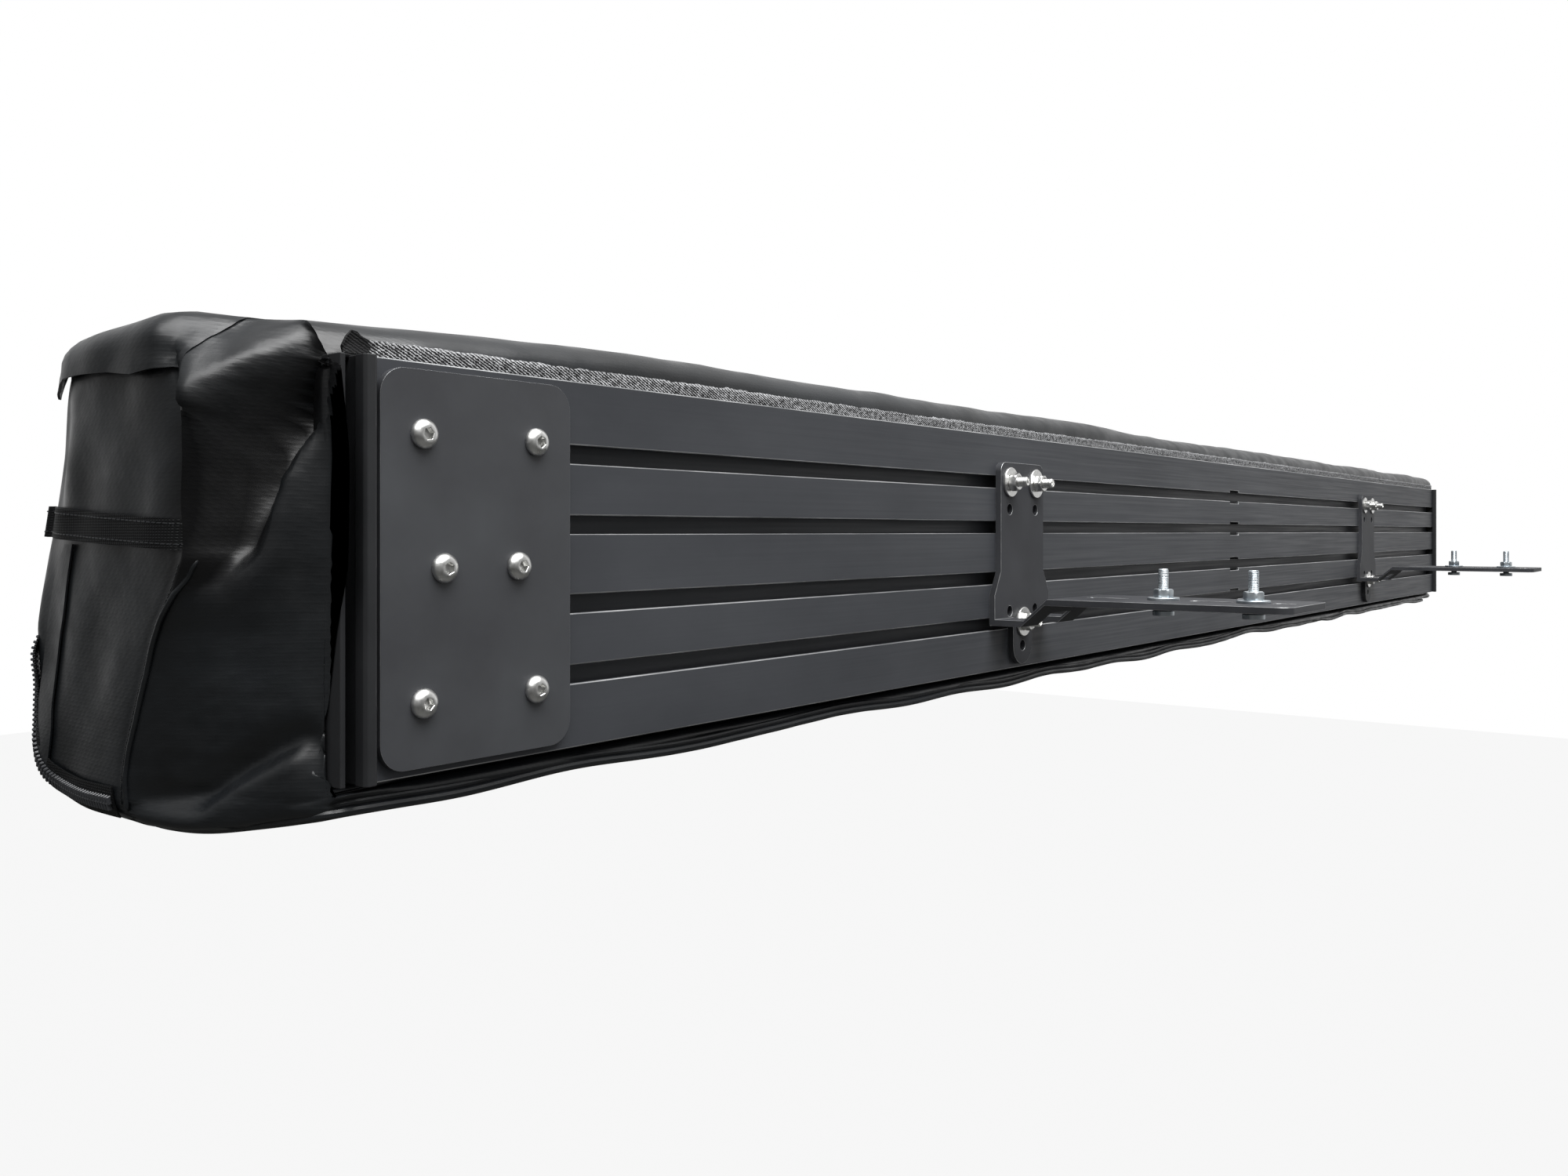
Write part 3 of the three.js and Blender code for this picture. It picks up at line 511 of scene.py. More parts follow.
def far_border(y):
    """The x at which the far end's rounding starts."""
    return np.interp(y, [17, 60, 196], [2291, 2297, 2299])


def sunk(y, z):
    """How far the top sinks at the near end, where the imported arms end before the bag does."""
    return 6.5 * rising(z, 160, 205) ** 1.4 * rising(y, 199, 175)


loop_y, loop_z = loop.T
near_loop_y = pulled_in(loop_y, loop_z)
turning = np.roll(loop, -1, axis=0) - np.roll(loop, 1, axis=0)
outward = np.stack([-turning[:, 1], turning[:, 0]], axis=1) / np.linalg.norm(turning, axis=1)[:, None]
outward *= np.sign(((loop - loop.mean(0)) * outward).sum(1).mean())
run = np.arange(len(loop)) * 860.0 / len(loop)
free = np.where((loop_y < 22) & (loop_z > -5) & (loop_z < 196), 0.0, 1.0)
free = np.convolve(np.tile(free, 3), np.ones(9) / 9, "same")[len(loop):2 * len(loop)]
free *= np.where((loop_y > 190) & (np.abs(loop_z - zip_z) < 30), 0.15, 1.0)
free *= np.interp(loop_z, [-22, 20, 190, 214], [1.3, 1.0, 0.9, 0.75])


def ring(f):
    """The section at share f of the bag's length, with its waves."""
    x = end_border(near_loop_y, loop_z) * (1 - f) + far_border(loop_y) * f
    swell = (2.4 * waves(x * 0.45, run, 150, 21) + 0.6 * waves(x, run, 52, 22)) * free
    swell = np.clip(swell * rising(f, 0, 0.02) * rising(f, 1, 0.98), -5, np.where(loop_z > 180, 2.2, 3.0))
    mix = np.where((loop_z > 188) | (loop_z < -2), rising(f, 0, 0.02) ** 0.8, float(f > 0))
    y = near_loop_y * (1 - mix) + loop_y * mix + outward[:, 0] * swell
    z = loop_z + outward[:, 1] * swell - sunk(loop_y, loop_z) * (1 - min(f / 0.14, 1)) ** 2
    return np.stack([x, y, z], axis=1)


steps = np.concatenate([[0.00004], np.linspace(0, 0.05, 14), np.linspace(0.05, 1, 138)])
rings = [ring(f) for f in np.unique(np.round(steps, 5))]
print(len(rings), "rings of", len(loop), "points")

# %% Both ends, and one skin
far_face = 2311 - 2 * ((gy - 110) / 80) ** 2 + 1.5 * waves(gy, gz, 90, 31) + 0.15 * waves(gy, gz, 24, 32)
far_x = far_border(gy) + (far_face - far_border(gy)) * round_share(gy, gz, 13.0)
points = rings + [np.stack([near_x, gy_near, gz - sunk(gy, gz)], axis=-1).reshape(-1, 3),
    np.stack([far_x, gy, gz], axis=-1).reshape(-1, 3)]
faces = ring_faces(len(rings), len(loop))
for base in (len(rings) * len(loop), len(rings) * len(loop) + gy.size):
    faces += ring_faces(count_z + 1, count_y + 1, closed=False, base=base)
bag = solid_from("bag_skin", np.vstack(points), faces, cloth_pvc)

# Each vertex's share of painted shade: high along the hollow on the near end, nothing elsewhere
corners_mm = (np.array([v.co for v in bag.data.vertices]) - zero) * 1000
from_fold = away(corners_mm[:, 1], corners_mm[:, 2], hollow_line)[0]
fold_shade_share = bell(from_fold, 0, 18) * (corners_mm[:, 0] < 0)
bag.data.attributes.new("painted_fold_shade", "FLOAT", "POINT").data.foreach_set("value", fold_shade_share)
edge_uses = np.bincount([corner.edge_index for corner in bag.data.loops])
print("bag skin:", len(bag.data.polygons), "faces, open edges:", (edge_uses < 2).sum())

# %% [markdown]
# ## Metal pieces
# The long plate is an aluminium extrusion with a matt black coat, and the brackets and the hinge plate
# are cut and folded steel with a powder coat. What tells them apart is the sheen: drawn lines along
# the extrusion, and the fine orange peel of powder on the steel.

# %% Coated metals
die_lines = (0.9, 3, 0.5, (0.012, 1, 1))
# Anodised aluminium: faint lines from the die, and a dull grey sheen under a little dust
coated_aluminium = finish("matt_black_anodised_aluminium",
    ((45, 5, 0.6, (0.5, 1, 1)), "#34363A", "#414347", 0.3, 0.75),
    (die_lines, 0.42, 0.58, 0.3, 0.7), [(die_lines, 0.08, 0.25)], Specular_IOR_Level=0.32)


def powder_coat(name, peel_mm, worn_mm, colours, rough, depth_mm, strength, gloss):
    """A powder coat with its orange peel, a little paler and duller where it is worn."""
    wear_and_sheen = (worn_mm, 5, 0.6)
    return finish(name, (wear_and_sheen, *colours, 0.3, 0.75), (wear_and_sheen, *rough, 0.3, 0.7),
        [((peel_mm, 2), depth_mm, strength)], Specular_IOR_Level=gloss)


# Powder coat on the channels: nearly black, it sets the dark frame round the plate
powder_steel = powder_coat("black_powder_coated_steel", 1.4, 38,
    ("#17181A", "#242527"), (0.4, 0.58), 0.09, 0.4, 0.4)
# On the hinge plate: the same grey as the plate behind it, and smoother
plate_coat = powder_coat("grey_black_powder_coated_plate", 1.2, 30,
    ("#38393C", "#434548"), (0.4, 0.52), 0.07, 0.35, 0.45)
# On the brackets: a little darker and duller than the plate, so that they stand off it
bracket_coat = powder_coat("satin_black_powder_coated_bracket", 1.3, 26,
    ("#313235", "#424346"), (0.46, 0.6), 0.08, 0.4, 0.15)
# Coat worn thin on the edges, with a painted highlight: bright metal that draws each edge as a line of light
rubbed_and_glint = (6, 4, 0.6, (0.2, 1, 1))
worn_edge_highlight = finish("worn_edge_with_painted_highlight", (rubbed_and_glint, "#8E9092", "#D8D9DA", 0.32, 0.68), (rubbed_and_glint, 0.3, 0.45),
    Metallic=0.9)
print("coats:", len(bpy.data.materials), "materials so far")

# %% Bare metals and nylon
# Stainless steel: the bright bolts, with the faint rings of turning
turned_marks = (1.6, 3)
stainless = finish("polished_stainless_steel", (turned_marks, "#D2D2D0", "#ECECEA", 0.3, 0.7),
    (turned_marks, 0.26, 0.38, 0.3, 0.7), [(turned_marks, 0.02, 0.3)], Metallic=1.0)
# Zinc plate: bluer and cloudier than stainless steel
bloom = (5, 4, 0.6)
zinc = finish("zinc_plated_steel", (bloom, "#AEB8C0", "#D5DADC", 0.3, 0.7), (bloom, 0.28, 0.5, 0.3, 0.7),
    [((0.8, 2), 0.03, 0.35)], Metallic=1.0)
# Silver anodising: a soft sheen that runs along the tubes
tube_lines = (0.8, 3, 0.5, (0.01, 1, 1))
arm_metal = finish("silver_anodised_aluminium", (tube_lines, "#A9ABAD", "#C4C5C6", 0.3, 0.7),
    (tube_lines, 0.3, 0.46, 0.3, 0.7), [(tube_lines, 0.05, 0.3)], Metallic=1.0)
# Moulded nylon: black with the fine texture of a spark-eroded mould
spark = (0.7, 2)
moulded = finish("moulded_black_nylon", ((12, 3), "#191A1B", "#232425"), (spark, 0.42, 0.56, 0.3, 0.7),
    [(spark, 0.05, 0.4)], IOR=1.53)
print("metals and nylon:", len(bpy.data.materials), "materials so far")

# %% [markdown]
# The solids already have the right shape, but every edge on them is perfectly sharp. A real edge is
# broken by 0.3 to 0.8 mm and catches a line of light, so each piece is a copy of its solid with a
# narrow bevel. The plate's bevel may not be held back by its short edges, or its lips would lose it.

# %% Rounded copies of the solids


def merged_copy(node, name):
    """A free copy of a solid's mesh, with its loose triangles joined into flat faces."""
    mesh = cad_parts[node].data.copy()
    mesh.name = name
    work = bmesh.new()
    work.from_mesh(mesh)
    bmesh.ops.remove_doubles(work, verts=work.verts, dist=2e-6)
    bmesh.ops.dissolve_limit(work, angle_limit=math.radians(0.6), verts=work.verts, edges=work.edges)
    work.to_mesh(mesh)
    work.free()
    mesh.polygons.foreach_set("use_smooth", [True] * len(mesh.polygons))
    mesh.materials.clear()
    return linked(name, mesh)


def baked(obj):
    """The object's evaluated mesh in place of its modifiers."""
    mesh = bpy.data.meshes.new_from_object(obj.evaluated_get(bpy.context.evaluated_depsgraph_get()))
    obj.modifiers.clear()
    obj.data = mesh


def settled(piece, body, slot, *nodes):
    """The piece rides on a body and stands for the named solids; slot is not used."""
    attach(piece, body)
    if nodes:
        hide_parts(*nodes)


def rounded(node, body, material, slot, edge_mm, segments=2, wear_and_sheen=None):
    """A copy of a solid with its edges broken, which stands for it on the same body."""
    made = merged_copy(node, node + "_rounded")
    bevel = made.modifiers.new("edge", "BEVEL")
    bevel.width, bevel.segments, bevel.limit_method = edge_mm / 1000, segments, "ANGLE"
    bevel.angle_limit, bevel.use_clamp_overlap = math.radians(30), node != "back_plate"
    made.data.materials.append(material)
    # The bevel's own finish, where one is given: a worn coat with a painted highlight on each edge
    if wear_and_sheen is not None:
        made.data.materials.append(wear_and_sheen)
        bevel.material = 1
    flat = made.modifiers.new("flat_faces", "WEIGHTED_NORMAL")
    flat.mode, flat.weight, flat.keep_sharp = "FACE_AREA", 100, True
    baked(made)
    settled(made, body, slot, node)


rounded("back_plate", "root", coated_aluminium, "black_aluminium", 0.7, wear_and_sheen=worn_edge_highlight)
for end in ("near", "far"):
    rounded("end_channel_" + end, "root", powder_steel, "black_aluminium", 0.5)
    rounded("bracket_" + end, "root", bracket_coat, "black_steel", 0.7, wear_and_sheen=worn_edge_highlight)
rounded("hinge_plate", "root", plate_coat, "black_steel", 0.6, wear_and_sheen=worn_edge_highlight)
rounded("hinge_bracket", "root", powder_steel, "black_steel", 0.7)
for k in range(1, 5):
    rounded(f"arm_{k}", f"arm_{k}", arm_metal, "silver_aluminium", 0.6)
    rounded(f"leg_{k}", f"leg_{k}", arm_metal, "silver_aluminium", 0.5)
    rounded(f"inner_leg_{k}", f"inner_leg_{k}", arm_metal, "silver_aluminium", 0.4)
    rounded(f"leg_foot_{k}", f"inner_leg_{k}", moulded, "plastic", 1.0, 3)
rounded("hinge_pin", "root", stainless, "stainless", 0.6)

# %% [markdown]
# ## Fasteners
# The hinge plate is held by six M8 button head bolts, and each bracket by three bolts with nuts and by
# two studs. Each kind is turned once, as a shop would: a profile goes round the axis, and a ring may
# be a hexagon.

# %% Turning and threading
round_count = 48
ring_angles = np.arange(round_count) * 2 * np.pi / round_count


def hexagon(flats, limit=99.0):
    """The radius of a hexagon at each angle, with its points cut off at limit."""
    return np.minimum(flats / 2 / np.cos((ring_angles + np.pi / 6) % (np.pi / 3) - np.pi / 6), limit)


def ring_at(radius, height, angles=ring_angles):
    """A ring of points round +Z, whose radius may differ from angle to angle."""
    r = radius * np.ones(len(angles))
    return np.column_stack([r * np.cos(angles), r * np.sin(angles), np.full(len(angles), height)])


def turned(name, rings, material):
    """A closed shape round +Z from rings of (radius, height in mm), first to last."""
    points = [[0, 0, rings[0][1]]] + [ring_at(*ring) for ring in rings] + [[0, 0, rings[-1][1]]]
    faces = ring_faces(len(rings), round_count, base=1)
    last = len(rings) * round_count + 1
    for i in range(round_count):
        j = (i + 1) % round_count
        faces += [(0, 1 + j, 1 + i), (last, last - round_count + i, last - round_count + j)]
    return solid_from(name, np.vstack(points) - zero * 1000, faces, material, 32)


def threaded(name, length, material, radius=4.0, pitch=1.25, depth=0.6):
    """A threaded rod round +Z whose ridge climbs by its pitch every turn, with a chamfered end."""
    around, rows = 24, int(length / pitch * 4) + 1
    angle = np.arange(around) * 2 * np.pi / around
    points = []
    for z in np.linspace(0, length, rows):
        ridge = np.abs(((z / pitch - angle / (2 * np.pi)) % 1) * 2 - 1)
        points.append(ring_at(np.minimum(radius - depth * ridge, radius - 0.9 + length - z), z, angle))
    return solid_from(name, np.vstack(points) - zero * 1000, closed_faces(rows, around), material, 50)


print("an M8 thread of 32 mm has", int(32 / 1.25), "turns")

# %% Putting pieces together


def joined(name, *pieces):
    """One object from several, which are used up."""
    work = bmesh.new()
    for p in pieces:
        work.from_mesh(p.data)
    made = filled(name, work)
    made.data.materials.append(pieces[0].data.materials[0])
    made.data.polygons.foreach_set("use_smooth", [True] * len(made.data.polygons))
    made.data.set_sharp_from_angle(angle=math.radians(35))
    for p in pieces:
        bpy.data.objects.remove(p)
    return made


def lifted(obj, up):
    """The same piece, moved up its axis by some millimetres."""
    obj.data.transform(Matrix.Translation((0, 0, up / 1000)))
    return obj


# %% Bolts, nuts, washers and studs
socket = [(hexagon(0.4), 1.0), (hexagon(4.9), 1.2), (hexagon(5.0), 1.5), (hexagon(5.0), 4.15),
    (hexagon(5.4), 4.4)]
head = [(3.35, 4.42), (4.2, 4.25), (5.1, 3.8), (5.9, 3.1), (6.5, 2.3), (6.9, 1.4), (7.0, 0.8), (7.0, 0.3),
    (6.8, 0.0)]
button_head = turned("button_head", socket + head, stainless)
nut_rings = [(4.3, 0.0), (6.3, 0.0), (hexagon(13, 6.9), 0.35), (hexagon(13, 7.5), 0.9), (hexagon(13, 7.5), 5.6),
    (hexagon(13, 6.9), 6.15), (6.2, 6.5), (5.0, 6.5), (4.2, 6.1)]
tail_dome = [(hexagon(0.4), 3.9), (hexagon(3.9), 4.1), (hexagon(4.0), 7.4), (hexagon(4.3), 7.75), (3.05, 7.8),
    (3.7, 7.2), (4.0, 6.3), (4.0, 5.6), (3.6, 5.4)]
bracket_bolt = joined("nut_and_bolt", turned("nut", nut_rings, stainless),
    lifted(threaded("tail", 6.6, stainless), 6.2),
    lifted(turned("tail_end", tail_dome, stainless), 6.4))
stud = joined("nut_and_stud", lifted(turned("stud_nut", nut_rings, zinc), 2.0),
    lifted(threaded("stud_rod", 32, zinc), -8),
    turned("stud_head", [(7.6, -12.0), (8.0, -11.6), (8.0, -8.4), (7.6, -8.0), (4.2, -7.8)], zinc))
washer_rings = [(4.3, 0.0), (11.7, 0.0), (12.0, 0.3), (12.0, 1.6), (11.6, 2.0), (4.7, 2.0), (4.3, 1.7)]
washer, zinc_washer = turned("washer", washer_rings, stainless), turned("zinc_washer", washer_rings, zinc)
print("turned:", [o.name for o in (button_head, bracket_bolt, washer, zinc_washer, stud)])

# %% [markdown]
# A small Geometry Nodes tree puts a copy of a piece at every point it is given, with that point's own
# turn, so no two bolts show their sockets at the same angle. The copies become plain mesh at once.

# %% A tree that repeats a piece


def repeat_tree():
    """Points in, one copy of Piece at each, turned by the attribute turn, plain mesh out."""
    tree = bpy.data.node_groups.new("repeat_at_points", "GeometryNodeTree")
    for name, way, kind in (("Points", "INPUT", "Geometry"), ("Piece", "INPUT", "Object"),
            ("Finish", "INPUT", "Material"), ("Copies", "OUTPUT", "Geometry")):
        tree.interface.new_socket(name, in_out=way, socket_type="NodeSocket" + kind)
    given = add(tree, "NodeGroupInput").outputs
    piece = add(tree, "GeometryNodeObjectInfo", {"Object": given["Piece"]}, "Geometry",
        transform_space="ORIGINAL")
    turn = add(tree, "GeometryNodeInputNamedAttribute", {"Name": "turn"}, "Attribute", data_type="FLOAT_VECTOR")
    turn = add(tree, "FunctionNodeEulerToRotation", {"Euler": turn}, "Rotation")
    copies = add(tree, "GeometryNodeInstanceOnPoints", {"Points": given["Points"], "Instance": piece,
        "Rotation": turn}, "Instances")
    real = add(tree, "GeometryNodeRealizeInstances", {"Geometry": copies}, "Geometry")
    done = add(tree, "GeometryNodeSetMaterial", {"Geometry": real, "Material": given["Finish"]}, "Geometry")
    add(tree, "NodeGroupOutput", {"Copies": done})
    return tree


repeat_at_points = repeat_tree()


def repeated(name, piece, places_mm, turns):
    """One plain mesh with the piece at each place, turned by three angles; the piece is used up."""
    mesh = bpy.data.meshes.new(name)
    mesh.from_pydata([tuple(p) for p in at(places_mm)], [], [])
    turn = mesh.attributes.new("turn", "FLOAT_VECTOR", "POINT")
    turn.data.foreach_set("vector", np.asarray(turns, float).ravel())
    made = linked(name, mesh)
    grow = made.modifiers.new("repeat", "NODES")
    grow.node_group = repeat_at_points
    given = {"Piece": piece, "Finish": piece.data.materials[0]}
    for socket in repeat_at_points.interface.items_tree:
        if socket.name in given:
            grow[socket.identifier] = given[socket.name]
    baked(made)
    bpy.data.objects.remove(piece)
    print(name, "-", len(places_mm), "copies,", len(made.data.polygons), "faces")
    return made


print("the repeating tree has", len(repeat_at_points.nodes), "nodes")

# %% [markdown]
# The heads sit 4 mm before the plate's face, on the hinge plate, and the nuts and washers on the
# brackets. The studs stand up through the seats. The odd angles are how hand-tightened hexagons end.

# %% Bolts, nuts, washers and studs in their places
face_out = math.radians(90)
hinge_x, row_z = 62.5, 61.5
hinge_places = [(hinge_x + dx, -4, plate_height / 2 + dz)
    for half, dz in ((33.6, row_z), (22.2, 0), (33.6, -row_z)) for dx in (-half, half)]
bolt_places = np.array([(c + dx, 0, z) for c in bracket_x for dx, z in ((-22.5, 152), (22.5, 152), (0, 38))])
stud_places = [(c, y, 59.5) for c in bracket_x for y in (-124, -192)]


def numbered(node, count):
    """The solids' names, at the near bracket and then at the far one."""
    return [f"{node}_{side}_{k}" for side in ("near", "far") for k in range(1, count + 1)]


for name, piece, slot, places, angles, nodes in (
        ("hinge_bolts", button_head, "stainless", hinge_places, (0.3, 0.9, 0.1, 0.55, 0.75, 0.2),
            [f"hinge_bolt_{k}" for k in range(1, 7)]),
        ("bracket_nuts_and_bolts", bracket_bolt, "stainless", bolt_places - [0, 7, 0],
            (0.2, 0.5, 0.9, 0.05, 0.7, 0.35), numbered("bracket_bolt", 3)),
        ("bracket_washers", washer, "stainless", bolt_places - [0, 5, 0], (0,) * 6,
            numbered("bracket_washer", 3)),
        ("seat_studs", stud, "zinc", stud_places, (0.4, 0.1, 0.8, 0.3), numbered("seat_stud", 2)),
        ("stud_washers", zinc_washer, "zinc", stud_places, (0,) * 4, numbered("stud_washer", 2))):
    turns = [(0, 0, a) if slot == "zinc" else (face_out, a, 0) for a in angles]
    settled(repeated(name, piece, places, turns), "root", slot, *nodes)
print("fasteners stand for", len(hinge_places) + 2 * len(bolt_places) + 2 * len(stud_places), "solids")

# %% [markdown]
# ## What is sewn on the bag
# A flap covers the top of the near end, a webbing strap crosses it, and a coarse zip comes along the
# front, turns down at the corner and ends at the seam. All of them lie on the bag, so one function
# gives the bag's depth at any place on the end, and each ribbon takes its vertices from that.

# %% Ribbons and cords


def unit(vectors):
    """The same directions, each one long."""
    return vectors / np.maximum(np.linalg.norm(vectors, axis=-1, keepdims=True), 1e-9)


def end_surface(y, z):
    """The near end's x at (y, z), with its rounded edge."""
    y, z = np.asarray(y, float), np.asarray(z, float)
    edge = end_border(y, z)
    return edge + (near_depth(y, z) - edge) * round_share(y, z, edge_radius(y))


def on_end(yz, proud):
    """Places on the near end, standing out by some millimetres."""
    return np.column_stack([end_surface(yz[:, 0], yz[:, 1]) - proud, yz])


def ribbon(name, rows, thick, material, side=1):
    """A band of cloth through rows of points, with its thickness on the side away from view."""
    rows = np.asarray(rows, float)
    count, across = rows.shape[:2]
    normal = unit(np.cross(np.gradient(rows, axis=0), np.gradient(rows, axis=1))) * side
    ring = np.concatenate([rows, (rows - normal * thick)[:, ::-1]], axis=1)
    return solid_from(name, ring.reshape(-1, 3), closed_faces(count, 2 * across), material, 60)


def tube(name, path, radius, material, around=10):
    """A round cord of cloth along a path, narrowed and closed at its ends."""
    ahead = unit(np.gradient(path, axis=0))
    first = unit(np.cross(ahead, [0.3, 0.2, 1.0]))[:, None]
    second = np.cross(ahead, first[:, 0])[:, None]
    turn = (np.arange(around) * 2 * np.pi / around)[None, :, None]
    size = np.full((len(path), 1, 1), float(radius))
    size[0] = size[-1] = radius * 0.4
    rings = path[:, None] + size * (np.cos(turn) * first + np.sin(turn) * second)
    return solid_from(name, rings.reshape(-1, 3), closed_faces(len(path), around), material)


print("the end stands at x", round(float(end_surface(120, 110)), 1), "mm behind the strap")

# %% [markdown]
# Webbing is woven from thick matt yarn, so it shows its ribs and hardly any sheen. The sewing thread
# is thinner and shinier. The strap is 15 mm wide. Its ribs, 1.3 mm apart, and its picks, 1.7 mm
# apart, are drawn somewhat coarser than real ones, which would be lost at this distance.

# %% Webbing and thread
woven, twist = crossing(0.6, (1.25664, "Z"), (1.74533, "Y")), crossing(0.0, (0.349066, "DIAGONAL"))
# Polyester webbing: the deepest black here, ribbed and dull
webbing = finish("black_polyester_webbing", (woven, "#08090A", "#151618"), ((6,), 0.52, 0.7),
    [(woven, 0.35, 0.7)], Specular_IOR_Level=0.2)
# Bonded thread: small glints along each row of stitches
thread = finish("bonded_polyester_thread", (twist, "#141516", "#2E3033"), bumps=[(twist, 0.1, 0.5)],
    Roughness=0.4, Specular_IOR_Level=0.35)
print("webbing and thread:", len(bpy.data.materials), "materials so far")

# %% [markdown]
# The flap lies over the edge of the end, so its points are found by rays that come from outside and
# stop at the bag's skin. It sinks into the skin at the seam, where the real one is sewn in.

# %% Rays onto the bag
skin = BVHTree.FromPolygons([v.co for v in bag.data.vertices], [tuple(p.vertices) for p in bag.data.polygons])


def onto_bag(start, ahead, proud):
    """Where a ray from outside meets the bag, pulled back by proud millimetres."""
    ahead = Vector(ahead).normalized()
    hit = skin.ray_cast(Vector(at(start)), ahead)[0]
    return (np.array(hit) - zero) * 1000 - np.array(ahead) * proud


skin_hit = onto_bag((-130, 120, 110), (1, 0, 0), 0)
print("a ray meets the end at x", round(float(skin_hit[0]), 1), "mm")

# %% Flap and tab


def flap_row(y, low, share):
    """From the flap's lower edge up the end, round the corner and onto the top, at one y."""
    corner = np.array([-28.0, y, 186.0])
    up = [onto_bag((-130, y, z), (1, 0, 0), share * 3.6) for z in np.linspace(low, 186, 4)]
    fan = []
    for a in np.linspace(0.1, 1.5, 14):
        out = np.array([-math.cos(a), 0, math.sin(a)])
        fan.append(onto_bag(corner + 100 * out, -out, share * (3.4 - 1.4 * a)))
    over = [onto_bag((x, y, 300), (0, 0, -1), share * (1.4 - 0.02 * (x + 25))) for x in np.linspace(-25, 8, 8)]
    return np.array(up + fan + over)


flap_y = np.linspace(50, 190, 60)
flap_low = np.interp(flap_y, [50, 58, 78, 101, 150, 186, 190], [184, 183, 181, 184, 184, 181, 179])
flap_low += 0.8 * waves(flap_y, 0, 45, 41)
flap_share = np.interp(flap_y, [50, 52, 64, 190], [-0.35, -0.2, 1, 1])
flap_rows = np.array([flap_row(*row) for row in zip(flap_y, flap_low, flap_share)])
lift = 0.8 * np.abs(waves(flap_rows[:, :, 1], flap_rows[:, :, 2], 38, 42))
flap_rows[:, :, 0] -= lift * flap_share.clip(0, 1)[:, None]
flap = ribbon("top_flap", flap_rows, 1.3, cloth_pvc)
tab_rows = [[(x + 0.5 * k, 193.5 + 4.6 * math.sin(min(k, 9) / 9 * 1.57), 204 - 3.9 * k)
    for x in np.linspace(-38, -25, 5)] for k in range(10)]
tab = ribbon("corner_tab", tab_rows, 1.4, cloth_pvc)
print("flap", len(flap.data.polygons), "faces")

# %% [markdown]
# The strap crosses the end and bows out a little between its seams. Then it goes round the front
# corner and a little way along the front, where it is sewn on.

# %% Strap
end_rows, corner_rows, front_rows = 40, 9, 8
bend_mm, bend_x, bend_y = 16.9, -44.5, 180.5
strap_rows = []
for k in range(end_rows + corner_rows + front_rows):
    share, beyond = min(k / (end_rows - 1), 1), k + 1 - end_rows
    y, tall = 43.6 + 137.4 * share, 6.6 + 0.9 * share
    z = 110.5 + 6.5 * share + np.linspace(-tall, tall, 7)
    if k < end_rows:
        bow = 3.2 * math.sin(math.pi * share) ** 0.8 + 0.5 * math.sin(9 * share)
        tucked_in = 3.5 * max(0, 1 - share / 0.05)
        strap_rows.append(on_end(np.column_stack([np.full(7, y), z]), 1.5 - tucked_in + bow))
    else:
        turn = min(beyond / corner_rows, 1) * np.pi / 2
        x = bend_x - bend_mm * math.cos(turn) + 5.0 * max(beyond - corner_rows, 0) + lean(y, z)
        strap_rows.append(np.column_stack([x, np.full(7, bend_y + bend_mm * math.sin(turn)), z]))
strap_rows = np.array(strap_rows)
strap = ribbon("end_strap_webbing", strap_rows, 1.4, webbing, side=-1)
print("strap", len(strap.data.polygons), "faces")

# %% [markdown]
# The lower seam has a corded lip, the zip has a facing sewn beside it, and the bag's lower edge along
# the plate is a hem with piping, which hangs in long waves.

# %% Seam, facing and hem
seam_path = smooth_path([(y, z) for y, z in seam_line if z < 101], 60)
seam_lip = tube("corner_seam_lip", on_end(seam_path - [0.6, 0], 0.3), 1.25, cloth_pvc, 8)
facing_outer = smooth_path([(152, 106), (167, 90), (173, 64), (179, 38), (183, 12), (179, -2)], 50)
facing_inner = smooth_path([(143, 106), (148, 90), (152, 73), (158, 56), (163, 31), (164, 15), (170, -4)], 50)
t = np.linspace(0, 1, 9)[:, None]
facing_rows = [on_end(a * (1 - t) + b * t, 0.9) for a, b in zip(facing_outer, facing_inner)]
facing = ribbon("zip_facing", facing_rows, 0.8, cloth_pvc, side=-1)
hem_points = [(-52, 97, -17), (-45, 80, -20.6), (-38, 58, -20.4), (-26, 34, -17.2), (-15, 16, -14.2),
    (-8, 8.5, -12.6)]
hem_points += [(x, 7.2, -12.4) for x in (20, 60, 110, 170)] + [(x, 7.4, -12.2) for x in range(250, 2300, 90)]
hem_path = smooth_path(hem_points, 620)
hem_x = hem_path[:, 0]
sway = np.interp(hem_x, [-60, 0, 60, 2200, 2290], [0, 0.5, 1, 1, 0])
hem_path[:, 2] += 2.6 * waves(hem_x, 0, 170, 51) * sway
hem_path[:, 1] -= 0.8 * np.abs(waves(hem_x, 0, 90, 52)) * sway
hem = joined("hem_piping", tube("hem_a", hem_path, 2.4, cloth_pvc),
    tube("hem_b", hem_path + [0, 0.6, 3.7], 1.7, cloth_pvc))
print("seam lip, facing and a hem of", round(run_along(hem_path)[-1]), "mm")

# %% [markdown]
# ### Zip
# A moulded zip has a tooth every 2.54 mm on each tape, and the two rows mesh. One tooth has a few
# dozen faces, and the tree above repeats it along the path. Its turn comes from the path's own
# direction and from the bag's surface under it.

# %% Zip path
front_x = np.arange(2250, -14, -40.0)
zip_points = [(x, 197.2, zip_z) for x in front_x] + [(-22, 197.0, 76.5), (-36, 195.3, 73), (-48, 190.5, 66)]
end_part = [(190.5, 54), (189.5, 37), (187, 20), (182, 6), (172, -4), (157, -9), (131, -11), (101, -11)]
zip_fine = smooth_path(np.vstack([zip_points, on_end(np.array(end_part), 1.2)]), 1850)


